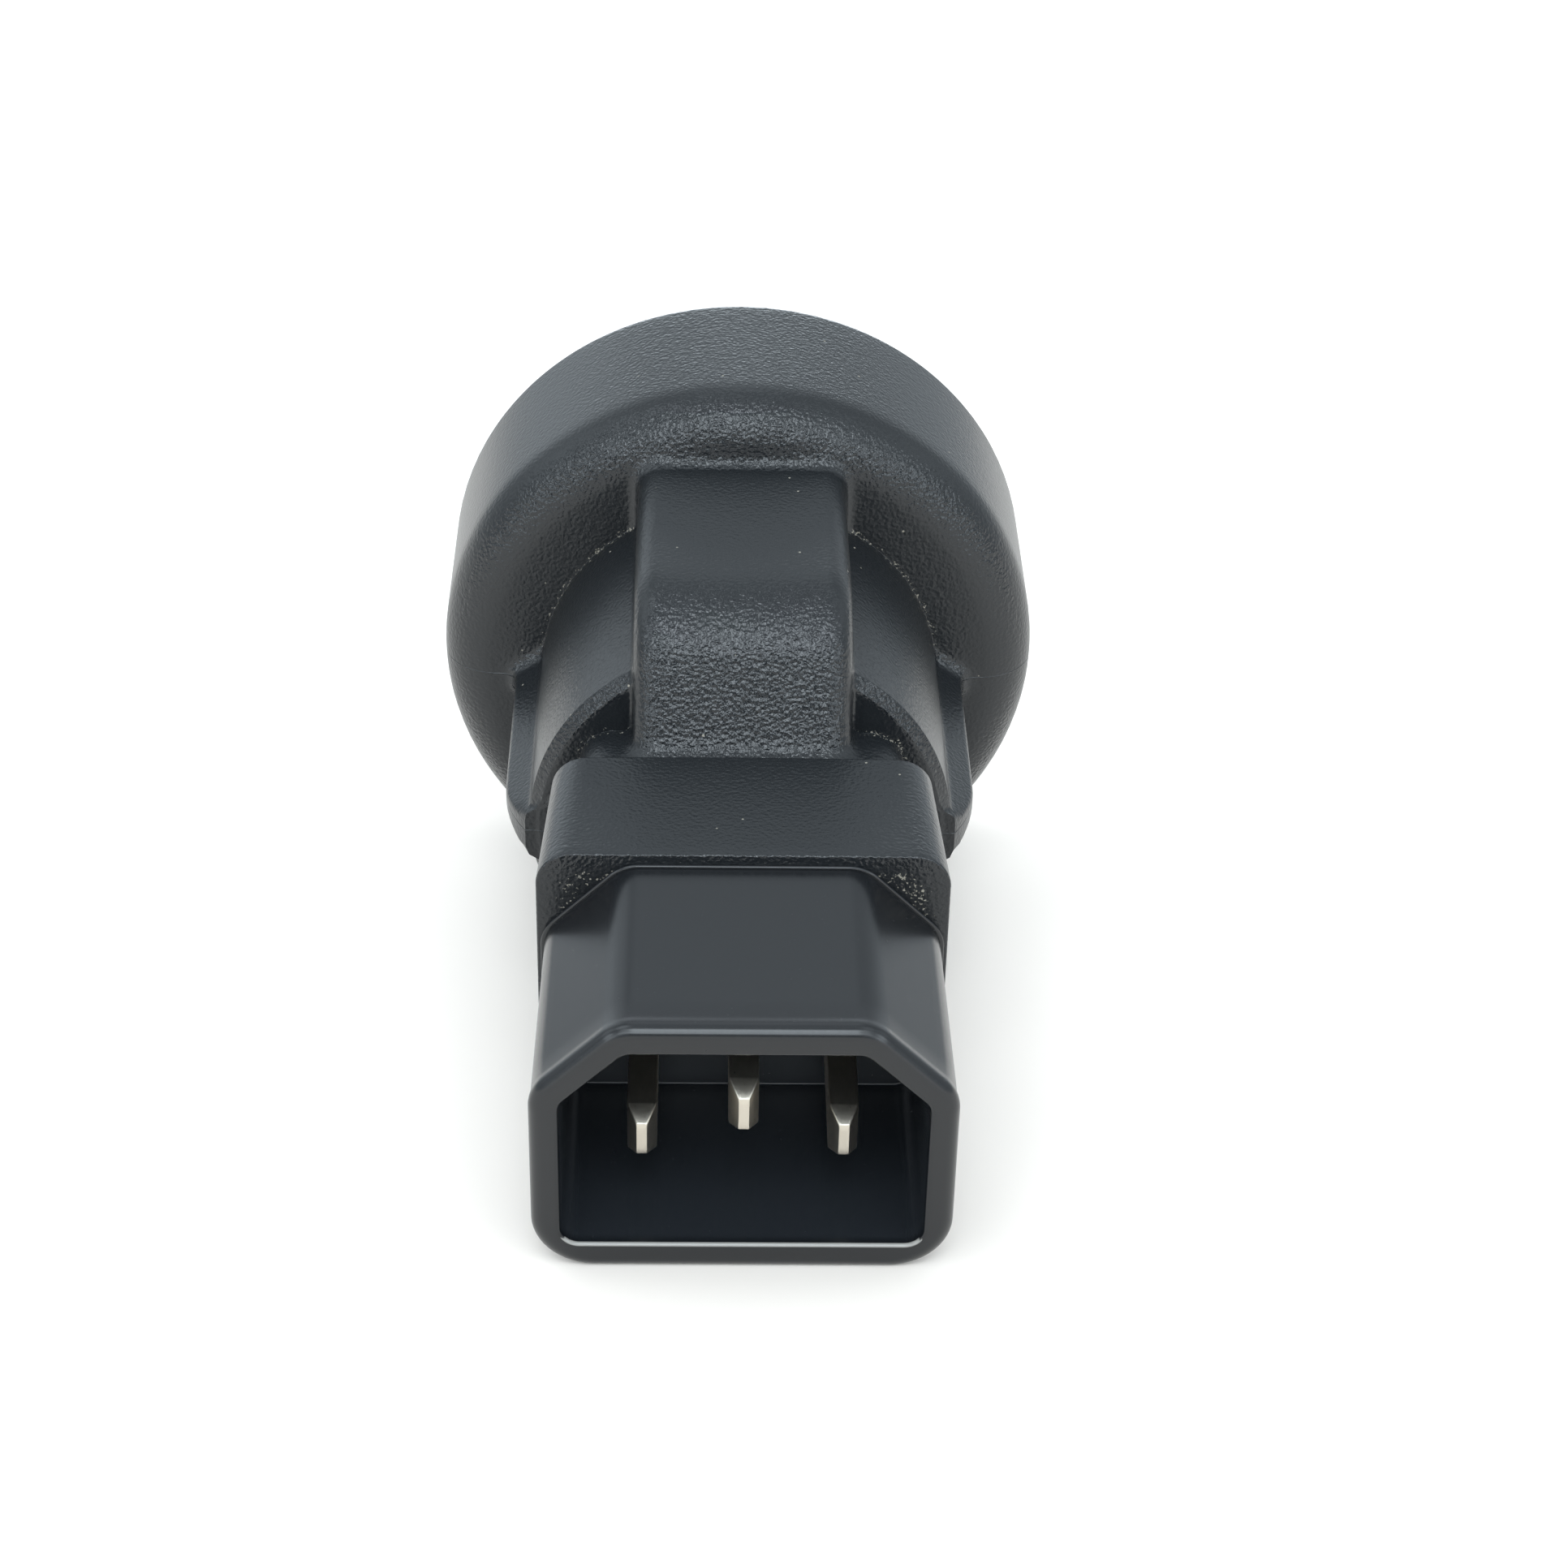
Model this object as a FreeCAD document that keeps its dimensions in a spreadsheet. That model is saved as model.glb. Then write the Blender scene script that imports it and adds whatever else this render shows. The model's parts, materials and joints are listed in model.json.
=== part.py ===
import FreeCAD
import Part
import Sketcher

import math
import os

# Moulded mains adapter: a C14 inlet plug at one end, a round recessed earthed socket at the other.
# Each piece is drawn about the adapter's own axis: X to the right, Y from the plug's mouth to the
# socket, Z up. The whole adapter then lies tilted, on the shroud's lower lip and the head's edge.

DIMENSIONS = {
    # Hard plastic shroud around the pins
    "shroud_half_width": 14.62,
    "shroud_top": 10.58,
    "shroud_bottom": 10.67,
    "shroud_chamfer": 5.88,
    "shroud_length": 19.0,
    "shroud_corner_round": 3.2,
    "shroud_draft": 0.8,
    "rim_round": 0.9,
    "cavity_half_width": 12.56,
    "cavity_half_height": 8.40,
    "cavity_chamfer": 4.42,
    "cavity_depth": 17.4,
    "cavity_corner_round": 1.3,
    "bead_width": 0.40,
    "bead_height": 0.28,
    "base_end": 24.0,
    # Flat pins and the crimp barrels behind them
    "pin_half_width": 1.03,
    "pin_half_height": 2.0,
    "pin_spread": 7.0,
    "pin_drop": 2.0,
    "live_tip": 3.70,
    "earth_tip": 1.65,
    "tip_half_width": 0.38,
    "tip_half_height": 1.35,
    "tip_length": 1.5,
    "crimp_radius": 1.40,
    "crimp_start": 23.0,
    "crimp_end": 30.5,
    "crimp_hole_start": 26.0,
    # Copper links
    "conductor_radius": 0.75,
    "link_end": 38.0,
    "sleeve_end": 35.5,
    "earth_sleeve_end": 41.4,
    # Overmould: collar, groove, barrel, ribs, earth blocks and head
    "collar_front": 19.0,
    "collar_rear": 32.5,
    "collar_half_width": 14.82,
    "collar_half_height": 11.20,
    "collar_corner_round": 2.7,
    "collar_draft": 2.8,
    "neck_half_width": 12.3,
    "neck_half_height": 9.1,
    "barrel_radius": 16.3,
    "barrel_front": 38.0,
    "barrel_chamfer": 0.8,
    "rib_reach": 18.4,
    "rib_tip_top": 0.1,
    "rib_tip_low": -1.3,
    "rib_root_top": 2.9,
    "rib_root_low": -4.1,
    "rib_inside": 14.0,
    "rib_front": 38.2,
    "rib_nose_round": 1.6,
    "block_half_width": 8.25,
    "block_inside": 6.0,
    "block_toe": 31.8,
    "block_foot": 33.59,
    "block_foot_height": 9.0,
    "block_front_slope": 60.0,
    "block_height": 19.6,
    "block_nose_round": 8.2,
    "block_foot_round": 1.2,
    "block_edge_round": 1.5,
    "head_radius": 24.48,
    "head_front": 60.4,
    "head_round": 4.3,
    "head_rear": 79.3,
    "head_rear_round": 0.8,
    "join_depth": 1.0,
    # Socket insert: cup, floor boss, contact chambers and guide ribs
    "cup_radius": 21.4,
    "cup_front": 61.5,
    "recess_radius": 19.75,
    "recess_floor": 62.4,
    "boss_radius": 15.2,
    "boss_front": 59.4,
    "contact_spread": 9.5,
    "entry_radius": 2.8,
    "chamber_radius": 3.9,
    "chamber_wall_radius": 5.2,
    "chamber_front": 41.7,
    "guide_inside": 18.4,
    "guide_root": 20.4,
    "guide_half_height": 2.5,
    "guide_rear": 78.3,
    # Plate that closes the chambers
    "cover_front": 40.2,
    "cover_half_width": 14.7,
    "cover_half_height": 5.2,
    "cover_corner_round": 4.0,
    # Sprung sleeve contacts
    "sleeve_radius": 2.9,
    "sleeve_bore": 2.3,
    "sleeve_front": 41.7,
    "sleeve_bore_start": 44.0,
    "sleeve_rear": 57.5,
    "spring_gap": 0.8,
    "spring_gap_start": 47.0,
    "tail_inside": 5.6,
    "tail_outside": 10.6,
    "tail_half_thickness": 0.4,
    "tail_front": 38.5,
    "contact_crimp_end": 39.5,
    # Earth strip with its two clips
    "clip_half_width": 3.5,
    "strip_thickness": 0.8,
    "strip_front": 42.6,
    "strip_reach": 18.4,
    "clip_root": 62.6,
    "clip_shoulder": 66.5,
    "clip_shoulder_reach": 19.0,
    "clip_dome": 71.0,
    "clip_dome_reach": 17.7,
    "clip_tip": 76.0,
    "clip_tip_reach": 19.2,
    "strip_bend_round": 1.9,
}

doc = FreeCAD.newDocument("mains_adapter")
sheet = doc.addObject("Spreadsheet::Sheet", "dims")
for row, (alias, number) in enumerate(DIMENSIONS.items(), start=1):
    sheet.set(f"A{row}", alias)
    sheet.set(f"B{row}", str(number))
    sheet.setAlias(f"B{row}", alias)
doc.recompute()


def lying_placement():
    """Tilt and lift that bring the shroud's lower lip and the head's lower edge down to Z = 0.

    Both edges are round in side view, so the table is the lower common tangent of two circles.
    """
    lip_y = sheet.rim_round
    lip_z = sheet.rim_round - sheet.shroud_bottom
    edge_y = sheet.head_front + sheet.head_round
    edge_z = sheet.head_round - sheet.head_radius
    distance = math.hypot(edge_y - lip_y, edge_z - lip_z)
    tilt = math.atan2(lip_z - edge_z, edge_y - lip_y)
    tilt += math.asin((sheet.head_round - sheet.rim_round) / distance)
    lift = sheet.rim_round - lip_y * math.sin(tilt) - lip_z * math.cos(tilt)
    top_lip_z = sheet.shroud_top - sheet.rim_round
    nearest = lip_y * math.cos(tilt) - top_lip_z * math.sin(tilt) - sheet.rim_round
    rear_y = sheet.head_rear - sheet.head_rear_round
    rear_z = sheet.head_rear_round - sheet.head_radius
    farthest = rear_y * math.cos(tilt) - rear_z * math.sin(tilt) + sheet.head_rear_round
    centre = (nearest + farthest) / 2
    turn = FreeCAD.Rotation(FreeCAD.Vector(1, 0, 0), math.degrees(tilt))
    return FreeCAD.Placement(FreeCAD.Vector(0, -centre, lift), turn)


LYING = lying_placement()

# Coordinate of the adapter's own axis, as a sheet expression
AXIS = "0"

# How near to a station an edge has to lie to count as being on it, in millimetres
ON_STATION = 0.01

# An edge runs along the axis if it is this many times as long as it is wide
SLENDER = 5

# Margin of the boxes that pick edges out, in millimetres
MARGIN = 0.1

# Where the pins stand across the axis, as sheet expressions
LINE_AT = ("-dims.pin_spread", "-dims.pin_drop")
NEUTRAL_AT = ("dims.pin_spread", "-dims.pin_drop")
EARTH_AT = (AXIS, "dims.pin_drop")
PIN_PLACES = (LINE_AT, NEUTRAL_AT, EARTH_AT)


def new_body(label):
    """Empty body with the common lying placement."""
    body = doc.addObject("PartDesign::Body", label)
    body.Label = label
    body.Placement = LYING
    return body


def section_sketch(body, name, station):
    """Sketch across the axis (X right, Z up) at the given distance along Y."""
    sketch = body.newObject("Sketcher::SketchObject", name)
    plane = next(item for item in body.Origin.OriginFeatures if item.Role == "XZ_Plane")
    sketch.AttachmentSupport = [(plane, "")]
    sketch.MapMode = "FlatFace"
    sketch.setExpression("AttachmentOffset.Base.z", f"-({station})")
    return sketch


def side_sketch(body, name):
    """Sketch in the upright plane of the axis (Y along, Z up)."""
    sketch = body.newObject("Sketcher::SketchObject", name)
    plane = next(item for item in body.Origin.OriginFeatures if item.Role == "YZ_Plane")
    sketch.AttachmentSupport = [(plane, "")]
    sketch.MapMode = "FlatFace"
    return sketch


def hold_point(sketch, geometry, vertex, across, up):
    """Bind both coordinates of a sketch point to expressions of the sheet."""
    for kind, expression, axis in (("DistanceX", across, -2), ("DistanceY", up, -1)):
        value = float(sketch.evalExpression(expression))
        if value == 0:
            sketch.addConstraint(Sketcher.Constraint("PointOnObject", geometry, vertex, axis))
        else:
            fixed = Sketcher.Constraint(kind, -1, 1, geometry, vertex, value)
            index = sketch.addConstraint(fixed)
            sketch.setExpression(f"Constraints[{index}]", expression)


def draw_outline(sketch, corners):
    """Closed outline of straight edges through corners, each a pair of sheet expressions."""
    points = []
    for across, up in corners:
        x = float(sketch.evalExpression(across))
        y = float(sketch.evalExpression(up))
        points.append(FreeCAD.Vector(x, y, 0))
    first = sketch.GeometryCount
    count = len(points)
    for index, point in enumerate(points):
        sketch.addGeometry(Part.LineSegment(point, points[(index + 1) % count]))
    for index in range(count):
        following = first + (index + 1) % count
        sketch.addConstraint(Sketcher.Constraint("Coincident", first + index, 2, following, 1))
    for index, (across, up) in enumerate(corners):
        hold_point(sketch, first + index, 1, across, up)


def draw_rectangle(sketch, left, right, low, high):
    """Closed rectangle between four sheet expressions."""
    draw_outline(sketch, [(left, low), (right, low), (right, high), (left, high)])


def draw_circle(sketch, across, up, radius):
    """Circle whose centre and radius are sheet expressions."""
    x = float(sketch.evalExpression(across))
    y = float(sketch.evalExpression(up))
    value = float(sketch.evalExpression(radius))
    normal = FreeCAD.Vector(0, 0, 1)
    circle = sketch.addGeometry(Part.Circle(FreeCAD.Vector(x, y, 0), normal, value))
    hold_point(sketch, circle, 3, across, up)
    index = sketch.addConstraint(Sketcher.Constraint("Radius", circle, value))
    sketch.setExpression(f"Constraints[{index}]", radius)


def pad_back(body, name, sketch, length, draft=None):
    """Add the sketch's area towards the socket, narrowing by the draft angle if one is given."""
    pad = body.newObject("PartDesign::Pad", name)
    pad.Profile = sketch
    pad.Reversed = True
    pad.setExpression("Length", length)
    if draft:
        pad.setExpression("TaperAngle", f"-({draft})")
    doc.recompute()
    return pad


def cut_back(body, name, sketch, length):
    """Remove the sketch's area towards the socket, and stop if nothing was removed."""
    before = body.Shape.Volume
    pocket = body.newObject("PartDesign::Pocket", name)
    pocket.Profile = sketch
    pocket.setExpression("Length", length)
    doc.recompute()
    if body.Shape.Volume >= before:
        raise RuntimeError(f"{name} removed nothing")
    return pocket


def pad_across(body, name, sketch, half_width):
    """Add the side sketch's area evenly to both sides of the upright plane."""
    pad = body.newObject("PartDesign::Pad", name)
    pad.Profile = sketch
    pad.SideType = "Symmetric"
    pad.setExpression("Length", f"2 * {half_width}")
    doc.recompute()
    return pad


def round_edges(body, name, radius, chosen):
    """Fillet the edges of the body's last feature for which chosen(edge) is true."""
    base = body.Tip
    names = [f"Edge{i}" for i, edge in enumerate(base.Shape.Edges, start=1) if chosen(edge)]
    fillet = body.newObject("PartDesign::Fillet", name)
    fillet.Base = (base, names)
    fillet.setExpression("Radius", radius)
    doc.recompute()
    return fillet


def cut_edges(body, name, size, chosen):
    """Chamfer the edges of the body's last feature for which chosen(edge) is true."""
    base = body.Tip
    names = [f"Edge{i}" for i, edge in enumerate(base.Shape.Edges, start=1) if chosen(edge)]
    chamfer = body.newObject("PartDesign::Chamfer", name)
    chamfer.Base = (base, names)
    chamfer.setExpression("Size", size)
    doc.recompute()
    return chamfer


def mirror_down(body, name, feature):
    """Repeat a feature below the axis."""
    mirror = body.newObject("PartDesign::Mirrored", name)
    mirror.Originals = [feature]
    plane = next(item for item in body.Origin.OriginFeatures if item.Role == "XY_Plane")
    mirror.MirrorPlane = (plane, [""])
    body.Tip = mirror
    doc.recompute()
    return mirror


def runs_along(edge):
    """True for a straight edge that runs from front to back."""
    box = edge.BoundBox
    return len(edge.Vertexes) == 2 and box.YLength > SLENDER * max(box.XLength, box.ZLength)


def at_station(edge, station):
    """True for an edge that lies wholly at one distance along the axis."""
    box = edge.BoundBox
    return abs(box.YMin - station) < ON_STATION and abs(box.YMax - station) < ON_STATION


def chamfered_outline(half_width, top, bottom, chamfer):
    """Corners of the inlet's outline: a rectangle with its two upper corners cut off."""
    shoulder = f"{top} - {chamfer}"
    brow = f"{half_width} - {chamfer}"
    right = [(half_width, f"-({bottom})"), (half_width, shoulder), (brow, top)]
    left = [(f"-({across})", up) for across, up in reversed(right)]
    return right + left


def build_inlet_shroud():
    """Hard moulding: open shroud, solid base and the slots that hold the pins."""
    body = new_body("inlet_shroud")
    outside = section_sketch(body, "shroud_outline", "0")
    corners = chamfered_outline(
        "dims.shroud_half_width", "dims.shroud_top", "dims.shroud_bottom", "dims.shroud_chamfer")
    draw_outline(outside, corners)
    pad_back(body, "shroud_wall", outside, "dims.base_end", "dims.shroud_draft")
    round_edges(body, "shroud_corners", "dims.shroud_corner_round", runs_along)
    round_edges(body, "shroud_rim", "dims.rim_round", lambda edge: at_station(edge, 0))
    inside = section_sketch(body, "cavity_outline", "0")
    corners = chamfered_outline(
        "dims.cavity_half_width", "dims.cavity_half_height", "dims.cavity_half_height",
        "dims.cavity_chamfer")
    draw_outline(inside, corners)
    cut_back(body, "cavity", inside, "dims.cavity_depth")
    depth = sheet.cavity_depth
    reach = sheet.cavity_half_width + MARGIN
    round_edges(body, "cavity_corners", "dims.cavity_corner_round", lambda edge: (
        runs_along(edge) and abs(edge.BoundBox.YMax - depth) < ON_STATION
        and edge.BoundBox.XMax < reach and edge.BoundBox.XMin > -reach))
    bead = section_sketch(body, "bead_outline", "dims.shroud_length - dims.bead_width")
    shrink = "tan(dims.shroud_draft) * dims.shroud_length"
    grow = f"(dims.bead_height - {shrink})"
    corners = chamfered_outline(
        f"(dims.shroud_half_width + {grow})", f"(dims.shroud_top + {grow})",
        f"(dims.shroud_bottom + {grow})", "dims.shroud_chamfer")
    draw_outline(bead, corners)
    pad_back(body, "sealing_bead", bead, "dims.bead_width")
    front = sheet.shroud_length - sheet.bead_width
    round_edges(body, "bead_corners", "dims.shroud_corner_round", lambda edge: (
        len(edge.Vertexes) == 2 and abs(edge.BoundBox.YMin - front) < ON_STATION
        and abs(edge.BoundBox.YMax - sheet.shroud_length) < ON_STATION))
    slots = section_sketch(body, "pin_slots", "dims.cavity_depth")
    for across, up in PIN_PLACES:
        draw_rectangle(
            slots, f"{across} - dims.pin_half_width", f"{across} + dims.pin_half_width",
            f"{up} - dims.pin_half_height", f"{up} + dims.pin_half_height")
    cut_back(body, "pin_slots_cut", slots, "dims.crimp_start - dims.cavity_depth")
    barrels = section_sketch(body, "barrel_holes", "dims.crimp_start")
    for across, up in PIN_PLACES:
        draw_circle(barrels, across, up, "dims.crimp_radius")
    cut_back(body, "barrel_holes_cut", barrels, "dims.base_end - dims.crimp_start + dims.join_depth")
    return body


def build_pin(label, across, up, tip):
    """Flat pin with a bevelled tip and a round crimp barrel behind the inlet's base."""
    body = new_body(label)
    nose = section_sketch(body, f"{label}_nose", tip)
    draw_rectangle(
        nose, f"{across} - dims.tip_half_width", f"{across} + dims.tip_half_width",
        f"{up} - dims.tip_half_height", f"{up} + dims.tip_half_height")
    blade = section_sketch(body, f"{label}_blade", f"{tip} + dims.tip_length")
    draw_rectangle(
        blade, f"{across} - dims.pin_half_width", f"{across} + dims.pin_half_width",
        f"{up} - dims.pin_half_height", f"{up} + dims.pin_half_height")
    bevel = body.newObject("PartDesign::AdditiveLoft", f"{label}_bevel")
    bevel.Profile = nose
    bevel.Sections = [blade]
    bevel.Ruled = True
    doc.recompute()
    pad_back(body, f"{label}_length", blade, f"dims.crimp_start - {tip} - dims.tip_length")
    barrel = section_sketch(body, f"{label}_barrel", "dims.crimp_start")
    draw_circle(barrel, across, up, "dims.crimp_radius")
    pad_back(body, f"{label}_crimp", barrel, "dims.crimp_end - dims.crimp_start")
    hole = section_sketch(body, f"{label}_hole", "dims.crimp_hole_start")
    draw_circle(hole, across, up, "dims.conductor_radius")
    cut_back(body, f"{label}_crimp_hole", hole, "dims.crimp_end - dims.crimp_hole_start")
    return body


def build_link(name, across, up, conductor_end, insulation_end):
    """Copper link from a pin's barrel to its contact, and the insulating sleeve on its middle."""
    conductor = new_body(f"{name}_conductor")
    core = section_sketch(conductor, f"{name}_core", "dims.crimp_hole_start")
    draw_circle(core, across, up, "dims.conductor_radius")
    pad_back(conductor, f"{name}_core_length", core, f"{conductor_end} - dims.crimp_hole_start")
    insulation = new_body(f"{name}_insulation")
    ring = section_sketch(insulation, f"{name}_ring", "dims.crimp_end")
    draw_circle(ring, across, up, "dims.crimp_radius")
    draw_circle(ring, across, up, "dims.conductor_radius")
    pad_back(insulation, f"{name}_ring_length", ring, f"{insulation_end} - dims.crimp_end")
    return [conductor, insulation]


def build_socket_insert():
    """Hard moulding: cup with the recess, floor boss, two contact chambers and two guide ribs."""
    body = new_body("socket_insert")
    cup = section_sketch(body, "cup_outline", "dims.cup_front")
    draw_circle(cup, AXIS, AXIS, "dims.cup_radius")
    pad_back(body, "cup", cup, "dims.head_rear - dims.cup_front")
    boss = section_sketch(body, "boss_outline", "dims.boss_front")
    draw_circle(boss, AXIS, AXIS, "dims.boss_radius")
    pad_back(body, "boss", boss, "dims.cup_front - dims.boss_front")
    walls = section_sketch(body, "chamber_outline", "dims.chamber_front")
    bores = section_sketch(body, "chamber_bores", "dims.chamber_front")
    entries = section_sketch(body, "entry_holes", "dims.boss_front")
    slots = section_sketch(body, "clip_slots", "dims.cup_front")
    guides = section_sketch(body, "guide_outline", "dims.recess_floor")
    for side in ("-1", "1"):
        centre = f"{side} * dims.contact_spread"
        draw_circle(walls, centre, AXIS, "dims.chamber_wall_radius")
        draw_circle(bores, centre, AXIS, "dims.chamber_radius")
        draw_circle(entries, centre, AXIS, "dims.entry_radius")
        draw_rectangle(
            slots, "-dims.clip_half_width", "dims.clip_half_width",
            f"{side} * (dims.strip_reach - dims.strip_thickness)", f"{side} * dims.strip_reach")
        draw_rectangle(
            guides, f"{side} * dims.guide_inside", f"{side} * dims.guide_root",
            "-dims.guide_half_height", "dims.guide_half_height")
    pad_back(body, "chamber_walls", walls, "dims.boss_front - dims.chamber_front")
    recess = section_sketch(body, "recess_outline", "dims.recess_floor")
    draw_circle(recess, AXIS, AXIS, "dims.recess_radius")
    cut_back(body, "recess", recess, "dims.head_rear - dims.recess_floor")
    cut_back(body, "chambers", bores, "dims.boss_front - dims.chamber_front")
    cut_back(body, "entries", entries, "dims.recess_floor - dims.boss_front")
    cut_back(body, "clip_slots_cut", slots, "dims.recess_floor - dims.cup_front")
    pad_back(body, "guides", guides, "dims.guide_rear - dims.recess_floor")
    return body


def build_chamber_cover():
    """Plate across both chambers, with a slot for each contact's tail and a hole for the earth link."""
    body = new_body("chamber_cover")
    outline = section_sketch(body, "cover_outline", "dims.cover_front")
    draw_rectangle(
        outline, "-dims.cover_half_width", "dims.cover_half_width",
        "-dims.cover_half_height", "dims.cover_half_height")
    pad_back(body, "cover_plate", outline, "dims.chamber_front - dims.cover_front")
    front = sheet.cover_front
    round_edges(body, "cover_corners", "dims.cover_corner_round", lambda edge: (
        abs(edge.BoundBox.YMin - front) < ON_STATION and edge.BoundBox.YLength > MARGIN))
    slots = section_sketch(body, "cover_slots", "dims.cover_front")
    for side in ("-1", "1"):
        draw_rectangle(
            slots, f"{side} * dims.tail_inside", f"{side} * dims.tail_outside",
            "-dims.pin_drop - dims.tail_half_thickness", "-dims.pin_drop + dims.tail_half_thickness")
    draw_circle(slots, AXIS, "dims.pin_drop", "dims.crimp_radius")
    cut_back(body, "cover_slots_cut", slots, "dims.chamber_front - dims.cover_front")
    return body


def build_contact(label, side):
    """Split sleeve that grips a round plug pin, with a flat tail and a crimp barrel."""
    body = new_body(label)
    centre = f"{side} * dims.contact_spread"
    sleeve = section_sketch(body, f"{label}_sleeve", "dims.sleeve_front")
    draw_circle(sleeve, centre, AXIS, "dims.sleeve_radius")
    pad_back(body, f"{label}_sleeve_length", sleeve, "dims.sleeve_rear - dims.sleeve_front")
    bore = section_sketch(body, f"{label}_bore", "dims.sleeve_bore_start")
    draw_circle(bore, centre, AXIS, "dims.sleeve_bore")
    cut_back(body, f"{label}_bore_cut", bore, "dims.sleeve_rear - dims.sleeve_bore_start")
    gap = section_sketch(body, f"{label}_gap", "dims.spring_gap_start")
    draw_rectangle(
        gap, f"{centre} - dims.spring_gap / 2", f"{centre} + dims.spring_gap / 2",
        "-dims.sleeve_radius - dims.join_depth", "dims.sleeve_radius + dims.join_depth")
    cut_back(body, f"{label}_gap_cut", gap, "dims.sleeve_rear - dims.spring_gap_start")
    tail = section_sketch(body, f"{label}_tail", "dims.tail_front")
    draw_rectangle(
        tail, f"{side} * dims.tail_inside", f"{side} * dims.tail_outside",
        "-dims.pin_drop - dims.tail_half_thickness", "-dims.pin_drop + dims.tail_half_thickness")
    pad_back(body, f"{label}_tail_length", tail, "dims.sleeve_front - dims.tail_front")
    barrel = section_sketch(body, f"{label}_barrel", "dims.sleeve_end")
    draw_circle(barrel, f"{side} * dims.pin_spread", "-dims.pin_drop", "dims.crimp_radius")
    pad_back(body, f"{label}_crimp", barrel, "dims.contact_crimp_end - dims.sleeve_end")
    hole = section_sketch(body, f"{label}_hole", "dims.sleeve_end")
    draw_circle(hole, f"{side} * dims.pin_spread", "-dims.pin_drop", "dims.conductor_radius")
    cut_back(body, f"{label}_crimp_hole", hole, "dims.link_end - dims.sleeve_end")
    return body


def build_earth_clip():
    """Bent strip: a bridge behind the chambers' front, two arms and a sprung dome on each arm."""
    body = new_body("earth_clip")
    profile = side_sketch(body, "strip_profile")
    thick = "dims.strip_thickness"
    outer = [
        ("dims.strip_front", AXIS),
        ("dims.strip_front", "dims.strip_reach"),
        ("dims.clip_root", "dims.strip_reach"),
        ("dims.clip_shoulder", "dims.clip_shoulder_reach"),
        ("dims.clip_dome", "dims.clip_dome_reach"),
        ("dims.clip_tip", "dims.clip_tip_reach"),
    ]
    inner = [(along, f"{up} - {thick}") for along, up in reversed(outer[2:])]
    inner.append((f"dims.strip_front + {thick}", f"dims.strip_reach - {thick}"))
    inner.append((f"dims.strip_front + {thick}", AXIS))
    draw_outline(profile, outer + inner)
    strip = pad_across(body, "strip", profile, "dims.clip_half_width")
    mirror_down(body, "strip_below", strip)
    front = sheet.strip_front
    round_edges(body, "strip_bends", "dims.strip_bend_round", lambda edge: (
        edge.BoundBox.XLength > MARGIN and abs(edge.BoundBox.YMin - front) < ON_STATION
        and abs(abs(edge.BoundBox.ZMin) - sheet.strip_reach) < ON_STATION))
    dome = sheet.clip_dome
    round_edges(body, "clip_domes", "dims.strip_bend_round", lambda edge: (
        edge.BoundBox.XLength > MARGIN and abs(edge.BoundBox.YMin - dome) < ON_STATION))
    hole = section_sketch(body, "solder_hole", "dims.strip_front")
    draw_circle(hole, AXIS, "dims.pin_drop", "dims.conductor_radius")
    cut_back(body, "solder_hole_cut", hole, thick)
    return body


def build_overmould_form():
    """Outside of the overmould without its earth blocks, before the inner pieces are taken out."""
    body = new_body("overmould_form")
    head = section_sketch(body, "head_outline", "dims.head_front")
    draw_circle(head, AXIS, AXIS, "dims.head_radius")
    pad_back(body, "head", head, "dims.head_rear - dims.head_front")
    round_edges(body, "head_edge", "dims.head_round", lambda edge: (
        at_station(edge, sheet.head_front)))
    round_edges(body, "head_rear_edge", "dims.head_rear_round", lambda edge: (
        at_station(edge, sheet.head_rear)))
    barrel = section_sketch(body, "barrel_outline", "dims.barrel_front")
    draw_circle(barrel, AXIS, AXIS, "dims.barrel_radius")
    pad_back(body, "barrel", barrel, "dims.head_front - dims.barrel_front + dims.join_depth")
    cut_edges(body, "barrel_edge", "dims.barrel_chamfer", lambda edge: (
        at_station(edge, sheet.barrel_front)))
    neck = section_sketch(body, "neck_outline", "dims.collar_rear")
    draw_rectangle(
        neck, "-dims.neck_half_width", "dims.neck_half_width",
        "-dims.neck_half_height", "dims.neck_half_height")
    pad_back(body, "neck", neck, "dims.barrel_front - dims.collar_rear + dims.join_depth")
    round_edges(body, "neck_corners", "dims.collar_corner_round", lambda edge: (
        runs_along(edge) and abs(edge.BoundBox.YMin - sheet.collar_rear) < ON_STATION))
    collar = section_sketch(body, "collar_outline", "dims.collar_front")
    draw_rectangle(
        collar, "-dims.collar_half_width", "dims.collar_half_width",
        "-dims.collar_half_height", "dims.collar_half_height")
    pad_back(body, "collar", collar, "dims.collar_rear - dims.collar_front", "dims.collar_draft")
    round_edges(body, "collar_corners", "dims.collar_corner_round", lambda edge: (
        runs_along(edge) and abs(edge.BoundBox.YMin - sheet.collar_front) < ON_STATION))
    ribs = section_sketch(body, "rib_outline", "dims.rib_front")
    for side in ("-1", "1"):
        draw_outline(ribs, [
            (f"{side} * dims.rib_inside", "dims.rib_root_top"),
            (f"{side} * dims.rib_reach", "dims.rib_tip_top"),
            (f"{side} * dims.rib_reach", "dims.rib_tip_low"),
            (f"{side} * dims.rib_inside", "dims.rib_root_low"),
        ])
    pad_back(body, "ribs", ribs, "dims.head_front - dims.rib_front + dims.join_depth")
    round_edges(body, "rib_noses", "dims.rib_nose_round", lambda edge: (
        edge.BoundBox.YLength < ON_STATION and edge.BoundBox.XLength < ON_STATION
        and abs(abs(edge.BoundBox.XMin) - sheet.rib_reach) < ON_STATION
        and abs(edge.BoundBox.YMin - sheet.rib_front) < ON_STATION))
    return body


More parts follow.
